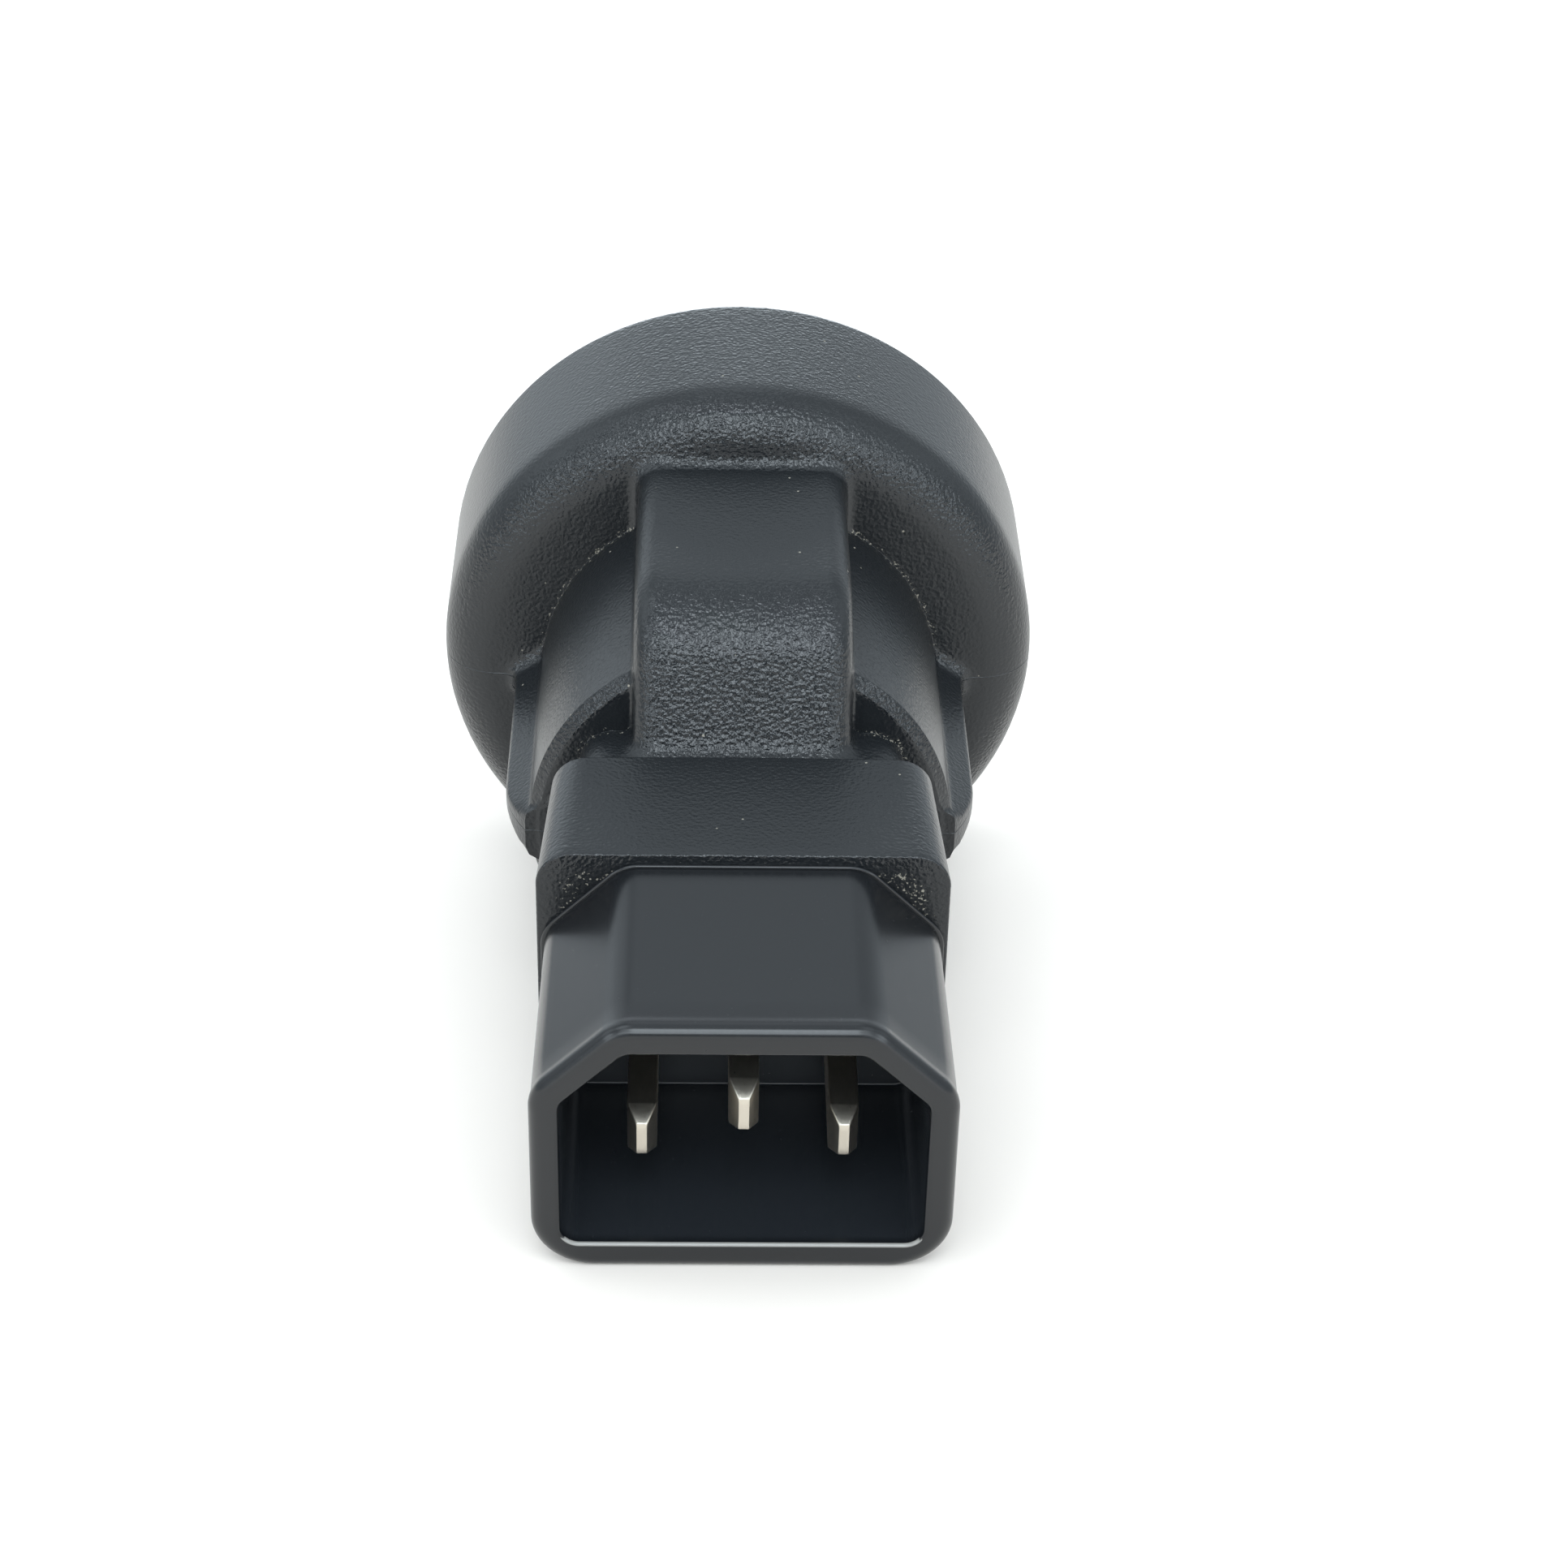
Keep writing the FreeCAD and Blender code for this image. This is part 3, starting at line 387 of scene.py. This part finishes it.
bend = arc_angles(180, 90, 9)
half_bridge = np.stack([np.full(6, BRIDGE_Y), np.linspace(0, ARM_Z - STRIP_BEND, 6, endpoint=False)], axis=1)
elbow = np.stack([BRIDGE_Y + STRIP_BEND * (1 + np.cos(bend)),
                  ARM_Z - STRIP_BEND * (1 - np.sin(bend))], axis=1)
half_path = np.concatenate([half_bridge, elbow, eased_run(CLIP_RUN, 14)])
path = np.concatenate([half_path[:0:-1] * (1, -1), half_path])
tangent = np.gradient(path, axis=0)
tangent /= np.linalg.norm(tangent, axis=1, keepdims=True)
corners = [(STRIP_HALF_WIDTH, -STRIP_HALF_THICKNESS), (STRIP_HALF_WIDTH, STRIP_HALF_THICKNESS),
           (-STRIP_HALF_WIDTH, STRIP_HALF_THICKNESS), (-STRIP_HALF_WIDTH, -STRIP_HALF_THICKNESS)]
shape = rounded_outline(corners, [STRIP_EDGE] * 4, 4, 3)
rows = np.stack(np.broadcast_arrays(shape[:, 0], path[:, :1] - tangent[:, 1:] * shape[:, 1],
                                    path[:, 1:] + tangent[:, :1] * shape[:, 1]), axis=-1)

# Spring brass strip, rolled and stamped: yellow metal with a satin bloom and soft rolling marks.
ROLLING_MM = 0.5
brass, tree, shader = new_material("spring_brass_rolled")
shader.inputs["Base Color"].default_value = linear("#d8b878")
shader.inputs["Metallic"].default_value = 1.0
add_finish(tree, shader, ROLLING_MM, 0.25, 0.42, 0.01)
finish_nodes(brass, "line_contact", "neutral_contact")
finish_nodes(hard_plastic, "chamber_cover")
add_piece("earth_strip", [turned_out(capped_tube(rows))], brass, "spring_brass", "earth_clip")

# Socket insert: the hard black cup of the recess, with a guide rib on each side, a pin hole on either
# side of its floor and a contact chamber behind each hole. It is injection moulded like the shroud.
CUP_RADIUS, CUP_FRONT, CUP_REAR, BOSS_RADIUS, BOSS_FRONT = 21.4, 61.5, 79.3, 15.2, 59.4
RECESS_RADIUS, RECESS_FLOOR, RECESS_FILLET = 19.75, 62.4, 0.5
RIM_ROUND, RIM_EDGE = 0.4, 0.15
GUIDE_INSIDE, GUIDE_HALF_HEIGHT, GUIDE_REAR = 18.4, 2.5, 78.3
GUIDE_EDGE, GUIDE_FILLET = 0.4, 0.3
CONTACT_SPREAD, ENTRY_RADIUS, ENTRY_EDGE = 9.5, 2.8, 0.4
CHAMBER_RADIUS, CHAMBER_WALL, CHAMBER_FRONT = 3.9, 5.2, 41.7
GUIDE_MIDDLE, RECESS_SEARCH = 70.0, (12.0, 21.0)
# A flat face across the axis leans by this slope, so that each ray from the axis meets it once.
FACE_LEAN = 0.035


def meet_round(a, b, r, cosine=0.0):
    """Common part of two distances with a rounded edge, for faces whose normals have this cosine.

    With p = a + r and q = b + r it is sqrt(p p + q q - 2 p q cosine) / sine - r where p > q cosine
    and q > p cosine, and the greater distance elsewhere.
    """
    p, q = a + r, b + r
    across_edge = np.sqrt(np.maximum(p * p + q * q - 2 * p * q * cosine, 0)) / math.sqrt(1 - cosine ** 2)
    return np.where((p > q * cosine) & (q > p * cosine), across_edge - r, np.maximum(a, b))


def union_round(a, b, r, cosine=0.0):
    """Joined distances with a hollow fillet: the rounded common part of their outsides, inside out."""
    return -meet_round(-a, -b, r, cosine)


def reach_along_rays(gap, y, turn, nearest, farthest):
    """Distance from the axis to a surface along rays at angle turn, by halving.

    gap(x, y, z) is negative on the near side of the surface and positive past it.
    """
    shape = np.broadcast(y, turn).shape
    low, high = np.full(shape, nearest), np.full(shape, farthest)
    for step in range(26):
        middle = (low + high) / 2
        near = gap(middle * np.sin(turn), y, middle * np.cos(turn)) < 0
        low, high = np.where(near, middle, low), np.where(near, high, middle)
    return (low + high) / 2


def spread_by_shape(start, end, count, curves, turn_weight):
    """Parameters from start to end, closer where the sampled curves are long or turn sharply.

    Each curve's length and turning angle are summed as a weight, and the parameters are set at
    equal shares of that sum.
    """
    fine = np.linspace(start, end, curves.shape[0])
    step = np.diff(curves, axis=0)
    length = np.linalg.norm(step, axis=-1)
    angle = np.unwrap(np.arctan2(step[..., 1], step[..., 0]), axis=0)
    bend = np.abs(np.diff(angle, axis=0, prepend=angle[:1]))
    weight = (length / length.sum(0) + turn_weight * bend / bend.sum(0)).max(axis=1)
    share = np.concatenate([[0], np.cumsum(weight)])
    return np.interp(np.linspace(0, share[-1], count), share, fine)


def recess_gap(x, y, z):
    """Depth into the recess's wall or its two guide ribs, which join the wall with a small fillet."""
    lean = FACE_LEAN * (np.hypot(x, z) - RECESS_RADIUS)
    guide = meet_round(GUIDE_INSIDE - np.abs(x), np.abs(z) - GUIDE_HALF_HEIGHT, GUIDE_EDGE)
    guide = meet_round(guide, y - GUIDE_REAR - lean, GUIDE_EDGE)
    return -union_round(guide, RECESS_RADIUS - np.hypot(x, z), GUIDE_FILLET)


def recess_row(y, inset, turn):
    """Row of the recess's wall at station y, drawn in by inset."""
    radius = reach_along_rays(recess_gap, y, turn, *RECESS_SEARCH) - inset
    return np.stack([radius * np.sin(turn), np.full(len(turn), y), radius * np.cos(turn)], axis=1)


def turned_row(y, radius, turn):
    """Plain round row at station y."""
    return np.stack([radius * np.sin(turn), np.full(len(turn), y), radius * np.cos(turn)], axis=1)


def half_loop(row, side):
    """Half of a round row, closed along the upright line through the axis."""
    half = len(row) // 2
    kept = row[:half + 1] if side > 0 else np.concatenate([row[half:], row[:1]])
    share = np.linspace(-1, 1, 27)[1:-1, None] * side
    middle = (row[0] + row[half]) / 2
    return np.concatenate([kept, middle + share * (row[0] - row[half]) / 2])


def chamber_rows(floor_edge, boss_edge, side):
    """Rows from the floor's edge into the pin hole, through the chamber and back to the boss's edge.

    Each point of the floor's edge keeps its angle a about the hole: centre + r (cos a, sin a).
    """
    centre = side * CONTACT_SPREAD
    angle = np.arctan2(floor_edge[:, 2], floor_edge[:, 0] - centre)

    def ring(radius, y):
        return np.stack([centre + radius * np.cos(angle), np.full(len(angle), y),
                         radius * np.sin(angle)], axis=1)

    brim = ring(ENTRY_RADIUS + ENTRY_EDGE, RECESS_FLOOR)
    rows = [floor_edge + share * (brim - floor_edge) for share in (0.0, 0.3, 0.6, 0.85)]
    rows += [ring(ENTRY_RADIUS + ENTRY_EDGE * (1 - math.sin(a)),
                  RECESS_FLOOR - ENTRY_EDGE * (1 - math.cos(a))) for a in arc_angles(0, 90, 6)]
    rows += [ring(ENTRY_RADIUS, BOSS_FRONT), ring(CHAMBER_RADIUS, BOSS_FRONT),
             ring(CHAMBER_RADIUS, CHAMBER_FRONT), ring(CHAMBER_WALL, CHAMBER_FRONT),
             ring(CHAMBER_WALL, BOSS_FRONT), boss_edge]
    return np.array(rows)


half_turn = np.linspace(0, np.pi, 2001)[:, None]
section = reach_along_rays(recess_gap, GUIDE_MIDDLE, half_turn, *RECESS_SEARCH)
outline = np.stack([section * np.sin(half_turn), section * np.cos(half_turn)], axis=-1)
half_turn = spread_by_shape(0, np.pi, 121, outline, 1.2)[:-1]
turn = np.concatenate([half_turn, half_turn + np.pi])
rows = [recess_row(RECESS_FLOOR + RECESS_FILLET * (1 - math.cos(a)), RECESS_FILLET * (1 - math.sin(a)), turn)
        for a in arc_angles(0, 90, 6)]
along_wall, round_guide_ends = np.linspace(64, 77, 6), np.linspace(77.4, 78.6, 16)
rows += [recess_row(y, 0.0, turn) for y in np.append(along_wall, round_guide_ends)]
rows += [turned_row(CUP_REAR - RIM_ROUND * (1 - math.sin(a)),
                    RECESS_RADIUS + RIM_ROUND * (1 - math.cos(a)), turn) for a in arc_angles(0, 90, 6)]
rows += [turned_row(y, radius, turn) for y, radius in (
    (CUP_REAR, CUP_RADIUS - RIM_EDGE), (CUP_REAR - RIM_EDGE, CUP_RADIUS), (CUP_FRONT, CUP_RADIUS),
    (CUP_FRONT, BOSS_RADIUS), (BOSS_FRONT, BOSS_RADIUS))]
cup = np.array(rows)
points, quads, start = [cup.reshape(-1, 3)], [grid_quads(*cup.shape[:2])], cup.shape[0] * cup.shape[1]
for side in (1, -1):
    chamber = chamber_rows(half_loop(cup[0], side), half_loop(cup[-1], side), side)
    points.append(chamber.reshape(-1, 3))
    quads.append(start + grid_quads(*chamber.shape[:2])[:, ::-1])
    start += len(points[-1])
# The cup and the two chambers share their edge points, which are merged here.
points = np.concatenate(points)
found = np.unique(np.round(points, 4) + 0.0, axis=0, return_index=True, return_inverse=True)
first, number = found[1:]
skin = turned_out((points[first], number.ravel()[np.concatenate(quads)].tolist()))
add_piece("socket_insert_skin", [skin], hard_plastic, "hard_black_plastic", "socket_insert")

# Overmould: the soft body that holds both ends together, moulded in one shot of PVC round the
# finished core. Collar, groove, barrel, two side ribs, earth blocks and head are one skin.
COLLAR_FRONT, COLLAR_REAR = 19.0, 32.5
COLLAR_HALF_WIDTH, COLLAR_HALF_HEIGHT, COLLAR_CORNER = 14.82, 11.20, 2.7
COLLAR_DRAFT, COLLAR_EDGE = math.tan(math.radians(2.8)), 0.2
NECK_HALF_WIDTH, NECK_HALF_HEIGHT, NECK_CORNER = 12.3, 9.1, 2.7
BARREL_RADIUS, BARREL_FRONT, BARREL_CHAMFER, BARREL_EDGE = 16.3, 38.0, 0.8, 0.12
RIB_REACH, RIB_MIDDLE, RIB_TIP_HALF, RIB_EDGE = 18.4, -0.6, 0.7, 0.6
RIB_SLOPE = math.radians(32.5)
RIB_NOSE_ROUND, RIB_NOSE_START = 11.0, 44.0
BLOCK_HALF_WIDTH, BLOCK_HEIGHT, BLOCK_EDGE, BLOCK_NOSE_ROUND = 8.25, 19.6, 1.9, 8.2
BLOCK_FOOT, BLOCK_FOOT_HEIGHT, BLOCK_FOOT_ROUND, BLOCK_TOE_HEIGHT = 33.59, 9.0, 3.0, 9.05
BLOCK_SLOPE = math.radians(60)
HEAD_RADIUS, HEAD_FRONT, HEAD_REAR, HEAD_ROUND, HEAD_REAR_ROUND = 24.48, 60.4, 79.3, 4.3, 0.8
BODY_SEARCH = (4.0, 27.0)


def box_distance(x, z, half_width, half_height, corner):
    """Distance to a rectangle with round corners: |max(q, 0)| + min(max(q), 0) - corner."""
    qx, qz = np.abs(x) - half_width + corner, np.abs(z) - half_height + corner
    return np.hypot(np.maximum(qx, 0), np.maximum(qz, 0)) + np.minimum(np.maximum(qx, qz), 0) - corner


def rib_distance(x, y, z):
    """Both side ribs: a drafted wedge on the parting plane, its tip drawn in to the front by a wide arc.

    The flanks lean by the rib's slope s: (|x| - reach) sin s + (|z - middle| - half tip) cos s.
    """
    ahead = np.maximum(RIB_NOSE_START - y, 0)
    tip = np.hypot(np.maximum(np.abs(x) - RIB_REACH + RIB_NOSE_ROUND, 0), ahead) - RIB_NOSE_ROUND
    lean = math.sin(RIB_SLOPE)
    flank = (np.abs(x) - RIB_REACH) * lean + (np.abs(z - RIB_MIDDLE) - RIB_TIP_HALF) * math.cos(RIB_SLOPE)
    return meet_round(flank, tip, RIB_EDGE, lean)


def block_distance(x, y, z):
    """Both earth blocks: a top and a steep front met by a wide round, the front run out on a low toe."""
    lean = math.cos(BLOCK_SLOPE)
    ramp = (BLOCK_FOOT - y) * math.sin(BLOCK_SLOPE) + (np.abs(z) - BLOCK_FOOT_HEIGHT) * lean
    block = meet_round(np.abs(z) - BLOCK_HEIGHT, ramp, BLOCK_NOSE_ROUND, lean)
    toe = np.maximum(np.abs(z) - BLOCK_TOE_HEIGHT, COLLAR_REAR - 0.5 - y)
    profile = union_round(block, toe, BLOCK_FOOT_ROUND, lean)
    return meet_round(profile, np.abs(x) - BLOCK_HALF_WIDTH, BLOCK_EDGE)


def overmould_distance(x, y, z):
    """Distance to the moulding: the least of its features, each pair that meets joined by its own fillet."""
    radius = np.hypot(x, z)
    shrink = COLLAR_DRAFT * (y - COLLAR_FRONT)
    collar = box_distance(x, z, COLLAR_HALF_WIDTH - shrink, COLLAR_HALF_HEIGHT - shrink, COLLAR_CORNER)
    rear = y - COLLAR_REAR + FACE_LEAN * (radius - NECK_HALF_HEIGHT)
    collar = meet_round(meet_round(collar, rear, COLLAR_EDGE), COLLAR_FRONT - y, COLLAR_EDGE)
    neck = box_distance(x, z, NECK_HALF_WIDTH, NECK_HALF_HEIGHT, NECK_CORNER)
    neck = np.maximum(neck, y - BARREL_FRONT - 3)
    lean = FACE_LEAN * (radius - BARREL_RADIUS)
    wall, face = radius - BARREL_RADIUS, BARREL_FRONT + lean - y
    half = math.sqrt(0.5)
    barrel = meet_round(wall, (wall + face + BARREL_CHAMFER) * half, BARREL_EDGE, half)
    barrel = meet_round(barrel, face, BARREL_EDGE, half)
    rib = np.maximum(rib_distance(x, y, z), face)
    block = block_distance(x, y, z)
    head_face = HEAD_FRONT + FACE_LEAN * (radius - HEAD_RADIUS + HEAD_ROUND) - y
    head = meet_round(radius - HEAD_RADIUS, head_face, HEAD_ROUND)
    head = meet_round(head, y - HEAD_REAR, HEAD_REAR_ROUND)
    fillets = ((collar, neck, 0.15), (neck, barrel, 0.02), (barrel, rib, 0.3), (barrel, block, 0.4),
               (neck, block, 1.0), (barrel, head, 0.03), (block, head, 1.0), (rib, head, 1.2))
    return np.minimum.reduce([union_round(a, b, r) for a, b, r in fillets])


# The last station stays a hair inside the flat rear face, where rays still end at the head's edge.
LAST_STATION = HEAD_REAR - 0.002
fine_y = np.linspace(COLLAR_FRONT, LAST_STATION, 6000)[:, None]
few_turns = np.linspace(0, np.pi, 25)[None, :]
profiles = reach_along_rays(overmould_distance, fine_y, few_turns, *BODY_SEARCH)
stations = spread_by_shape(COLLAR_FRONT, LAST_STATION, 240,
                           np.stack([np.broadcast_to(fine_y, profiles.shape), profiles], -1), 1.2)
fine_turn = np.linspace(0, 2 * np.pi, 6001)[:, None]
few_stations = np.array([COLLAR_FRONT + 1, COLLAR_REAR - 1, 36, 40.5, 45, 55])[None, :]
sections = reach_along_rays(overmould_distance, few_stations, fine_turn, *BODY_SEARCH)
turns = spread_by_shape(0, 2 * np.pi, 385,
                        np.stack([sections * np.sin(fine_turn), sections * np.cos(fine_turn)], -1), 1.5)[:-1]
reach = reach_along_rays(overmould_distance, stations[:, None], turns[None, :], *BODY_SEARCH)
rows = [turned_row(y, radius, turns) for y, radius in zip(stations, reach)]
# From the rear face the skin turns in round the cup and the core, and comes out behind the shroud.
rear = [(HEAD_REAR, 23.0), (HEAD_REAR, CUP_RADIUS + 0.25), (HEAD_REAR - 0.1, CUP_RADIUS + 0.03),
        (HEAD_REAR - 4, CUP_RADIUS), (62.0, CUP_RADIUS), (61.8, 15.0), (40.0, 12.0), (33.0, 8.0), (24.0, 8.0)]
SHROUD_POCKET = ((COLLAR_FRONT + 1.52, 0.87), (COLLAR_FRONT + 0.02, 0.93))
rows += [turned_row(y, radius, turns) for y, radius in rear]
rows += [turned_row(y, share * reach[0], turns) for y, share in SHROUD_POCKET]
rows = np.array(rows)
skin = turned_out((rows.reshape(-1, 3), grid_quads(len(rows), len(turns), ring=True).tolist()))


def facing_out(points):
    """Outward direction of the moulding at each point: the slope of its distance, made one long."""
    steps = 0.02 * np.eye(3)
    slope = np.stack([overmould_distance(*(points + step).T) - overmould_distance(*(points - step).T)
                      for step in steps], axis=1)
    return slope / np.maximum(np.linalg.norm(slope, axis=1, keepdims=True), 1e-9)


# Three marks for the material: nooks that catch dust, faces towards the plug whose grain is still crisp,
# and the height over the plane where the tool parts.
NOOK_REACH, PARTING_HEIGHT = 0.8, -0.3
SIDE_WEAR, UPRIGHT_WEAR, CRISP_FROM, CRISP_OVER = 0.6, 1.2, 0.05, 0.4
outside = skin[0][:len(stations) * len(turns)]
unseen = np.zeros(len(skin[0]) - len(outside))
outward = facing_out(outside)
walled_in = 1 - overmould_distance(*(outside + NOOK_REACH * outward).T) / NOOK_REACH
nook = np.concatenate([np.clip(walled_in, 0, 1), unseen])
out_x, out_y, out_z = outward.T
facing_plug = np.minimum(-out_y - SIDE_WEAR * np.abs(out_x), UPRIGHT_WEAR * np.abs(out_z))
crisp = np.concatenate([np.clip((facing_plug - CRISP_FROM) / CRISP_OVER, 0, 1), unseen])
parting = skin[0][:, 2] - PARTING_HEIGHT

# Soft PVC, moulded in a spark-eroded tool: a worm-like grain of about a third of a millimetre, crisp and
# glittering on the faces towards the plug and worn dull elsewhere. A fine line shows where the tool
# parts, and pale dust is caught in the nooks.
GRAIN_MM, GRAIN_DEPTH_MM, WORN_DEPTH_MM, CLOUD_MM, DUST_MM, FLECK_MM = 0.30, 0.15, 0.05, 6.0, 0.22, 2.6
LINE_MM, LINE_DEPTH_MM = 0.07, 0.05
soft_pvc, tree, shader = new_material("pvc_spark_eroded_grain")
place = add_node(tree, "ShaderNodeTexCoord").outputs["Object"]
grain = add_node(tree, "ShaderNodeTexNoise", {"Scale": 1 / (GRAIN_MM * MM), "Detail": 1.0, "Roughness": 0.4},
                 {"Vector": place})
cloud = add_node(tree, "ShaderNodeTexNoise", {"Scale": 1 / (CLOUD_MM * MM), "Detail": 2.0}, {"Vector": place})
# Dust is crumbs that rise over a limit, which a slow cloud and the nooks lower, and a few stray flecks.
nooks = add_node(tree, "ShaderNodeAttribute", {"attribute_name": "nook"}).outputs["Fac"]
caught = add_node(tree, "ShaderNodeMapRange",
                  {"From Min": 0.05, "From Max": 0.6, "To Min": -0.30, "To Max": 0.05}, {"Value": nooks})
crumbs = add_node(tree, "ShaderNodeTexNoise", {"Scale": 1 / (DUST_MM * MM), "Detail": 2.0}, {"Vector": place})
heap = add_node(tree, "ShaderNodeMath", {"operation": "ADD"},
                {0: crumbs.outputs["Fac"], 1: caught.outputs["Result"]})
drift = add_node(tree, "ShaderNodeMapRange",
                 {"From Min": 0.35, "From Max": 0.65, "To Min": 0.69, "To Max": 0.62},
                 {"Value": cloud.outputs["Fac"]})
over = add_node(tree, "ShaderNodeMath", {"operation": "SUBTRACT"},
                {0: heap.outputs[0], 1: drift.outputs["Result"]})
lodged = add_node(tree, "ShaderNodeMapRange", {"From Min": 0.0, "From Max": 0.06}, {"Value": over.outputs[0]})
fleck = add_node(tree, "ShaderNodeTexVoronoi", {"Scale": 1 / (FLECK_MM * MM)}, {"Vector": place})
stray = add_node(tree, "ShaderNodeMapRange", {"From Min": 0.045, "From Max": 0.025},
                 {"Value": fleck.outputs["Distance"]})
dust = add_node(tree, "ShaderNodeMath", {"operation": "MAXIMUM"},
                {0: lodged.outputs["Result"], 1: stray.outputs["Result"]}).outputs[0]
tint = add_node(tree, "ShaderNodeMix", {"data_type": "RGBA", 6: linear("#14171a"), 7: linear("#8c877c")},
                {0: dust})
crispness = add_node(tree, "ShaderNodeAttribute", {"attribute_name": "crisp"}).outputs["Fac"]
sheen = add_node(tree, "ShaderNodeMapRange", {"To Min": 0.32, "To Max": 0.15}, {"Value": crispness})
rough = add_node(tree, "ShaderNodeMath", {"operation": "MAXIMUM"}, {0: sheen.outputs["Result"], 1: dust})
depth = add_node(tree, "ShaderNodeMapRange", {"To Min": WORN_DEPTH_MM * MM, "To Max": GRAIN_DEPTH_MM * MM},
                 {"Value": crispness})
bump = add_node(tree, "ShaderNodeBump", {"Strength": 1.0},
                {"Height": grain.outputs["Fac"], "Distance": depth.outputs["Result"]})
level = add_node(tree, "ShaderNodeAttribute", {"attribute_name": "parting"}).outputs["Fac"]
away = add_node(tree, "ShaderNodeMath", {"operation": "ABSOLUTE"}, {0: level})
line = add_node(tree, "ShaderNodeMapRange", {"From Min": LINE_MM, "From Max": 0.0},
                {"Value": away.outputs[0]})
ridge = add_node(tree, "ShaderNodeBump", {"Strength": 1.0, "Distance": LINE_DEPTH_MM * MM},
                 {"Height": line.outputs["Result"], "Normal": bump.outputs["Normal"]})
shader.inputs["IOR"].default_value = 1.50
tree.links.new(tint.outputs[2], shader.inputs["Base Color"])
tree.links.new(rough.outputs[0], shader.inputs["Roughness"])
tree.links.new(ridge.outputs["Normal"], shader.inputs["Normal"])
add_piece("overmould_skin", [skin], soft_pvc, "soft_pvc", "overmould_body",
          nook=nook, crisp=crisp, parting=parting)

# Surface that the adapter lies on: a plain pale sheet of matt board, wide enough to fill the view.
# It belongs to the picture and not to the part.
FLOOR_HALF = 3.0
floor_mesh = bpy.data.meshes.new("pale_floor")
floor_mesh.from_pydata([(-FLOOR_HALF, -FLOOR_HALF, 0), (FLOOR_HALF, -FLOOR_HALF, 0),
                        (FLOOR_HALF, FLOOR_HALF, 0), (-FLOOR_HALF, FLOOR_HALF, 0)], [], [(0, 1, 2, 3)])
floor = bpy.data.objects.new("pale_floor", floor_mesh)
bpy.context.scene.collection.objects.link(floor)
pale, tree, shader = new_material("pale_matt_board")
shader.inputs["Base Color"].default_value = linear("#fff5ec")
shader.inputs["Roughness"].default_value = 0.8
floor_mesh.materials.append(pale)

# Studio light: a white tent lit unevenly from outside, so that it glows in broad soft patches, with a
# dark opening for the camera. Each patch has a lean from overhead, a bearing from the plug end and a
# half width, all in degrees, and its brightness over the tent's own glow.
TENT_GLOW, TENT_TINT, PATCH_CORE = 0.70, (0.90, 1.0, 1.07, 1.0), 0.6
TENT_PATCHES = (
    (0, 0, 18, 0.30), (40, 0, 13, 6.2), (61, 0, 13, 5.0), (40, -32, 13, 1.6), (40, 32, 13, 2.0),
    (61, -24, 13, 2.8), (61, 24, 13, 2.2), (67, -60, 13, 2.9), (67, 60, 13, 2.9), (52, 58, 15, 0.50),
    (80, -42, 13, 2.4), (80, 42, 13, 2.8), (80, 0, 15, -0.56), (55, -95, 18, 1.0), (55, 95, 18, 0.50),
    (25, -80, 16, 1.8), (25, 80, 16, 0.85), (28, 180, 16, 0.50), (78, 180, 18, 4.3), (75, -152, 13, 0.50),
    (75, 152, 13, 0.25), (55, -138, 20, 0.35),
)
world = bpy.data.worlds.new("light_tent")
bpy.context.scene.world = world
world.use_nodes = True
tree = world.node_tree
heading = add_node(tree, "ShaderNodeTexCoord").outputs["Generated"]
glow = add_node(tree, "ShaderNodeValue").outputs["Value"]
glow.default_value = TENT_GLOW
for lean, bearing, half_width, brightness in TENT_PATCHES:
    lean, bearing = math.radians(lean), math.radians(bearing)
    centre = (math.sin(lean) * math.sin(bearing), -math.sin(lean) * math.cos(bearing), math.cos(lean))
    facing = add_node(tree, "ShaderNodeVectorMath", {"operation": "DOT_PRODUCT", 1: centre}, {0: heading})
    edge, core = math.cos(math.radians(half_width)), math.cos(math.radians(half_width * PATCH_CORE))
    patch = add_node(tree, "ShaderNodeMapRange",
                     {"interpolation_type": "SMOOTHSTEP", "From Min": edge, "From Max": core,
                      "To Max": brightness}, {"Value": facing.outputs["Value"]}).outputs["Result"]
    glow = add_node(tree, "ShaderNodeMath", {"operation": "ADD"}, {0: patch, 1: glow}).outputs[0]
background = tree.nodes["Background"]
background.inputs["Color"].default_value = TENT_TINT
tree.links.new(glow, background.inputs["Strength"])

# Camera: at the photograph's viewing angle, a long lens looking down on the plug end.
EYE_MM = np.array([-3.32, -171.43, 148.84])
PITCH, YAW, ROLL = math.radians(34.605), math.radians(1.807), math.radians(1.494)
FOCAL_PIXELS, FRAME_PIXELS, SENSOR_MM = 4090.7, 1932.0, 36.0
ahead = np.array([math.sin(YAW) * math.cos(PITCH), math.cos(YAW) * math.cos(PITCH), -math.sin(PITCH)])
level = np.array([math.cos(YAW), -math.sin(YAW), 0.0])
above = np.cross(level, ahead)
to_row = np.stack([across, along, upward])
view_right = (math.cos(ROLL) * level + math.sin(ROLL) * above) @ to_row
view_up = (-math.sin(ROLL) * level + math.cos(ROLL) * above) @ to_row
view_back = -ahead @ to_row
camera_data = bpy.data.cameras.new("photo_camera")
camera_data.sensor_width = SENSOR_MM
camera_data.lens = SENSOR_MM * FOCAL_PIXELS / FRAME_PIXELS
camera_data.clip_start = 0.01
camera = bpy.data.objects.new("photo_camera", camera_data)
turned = Matrix(np.stack([view_right, view_up, view_back], axis=1).tolist()).to_4x4()
camera.matrix_world = Matrix.Translation(Vector(seat(EYE_MM).tolist())) @ turned
bpy.context.scene.collection.objects.link(camera)
bpy.context.scene.camera = camera
bpy.context.scene.view_settings.view_transform = "Standard"
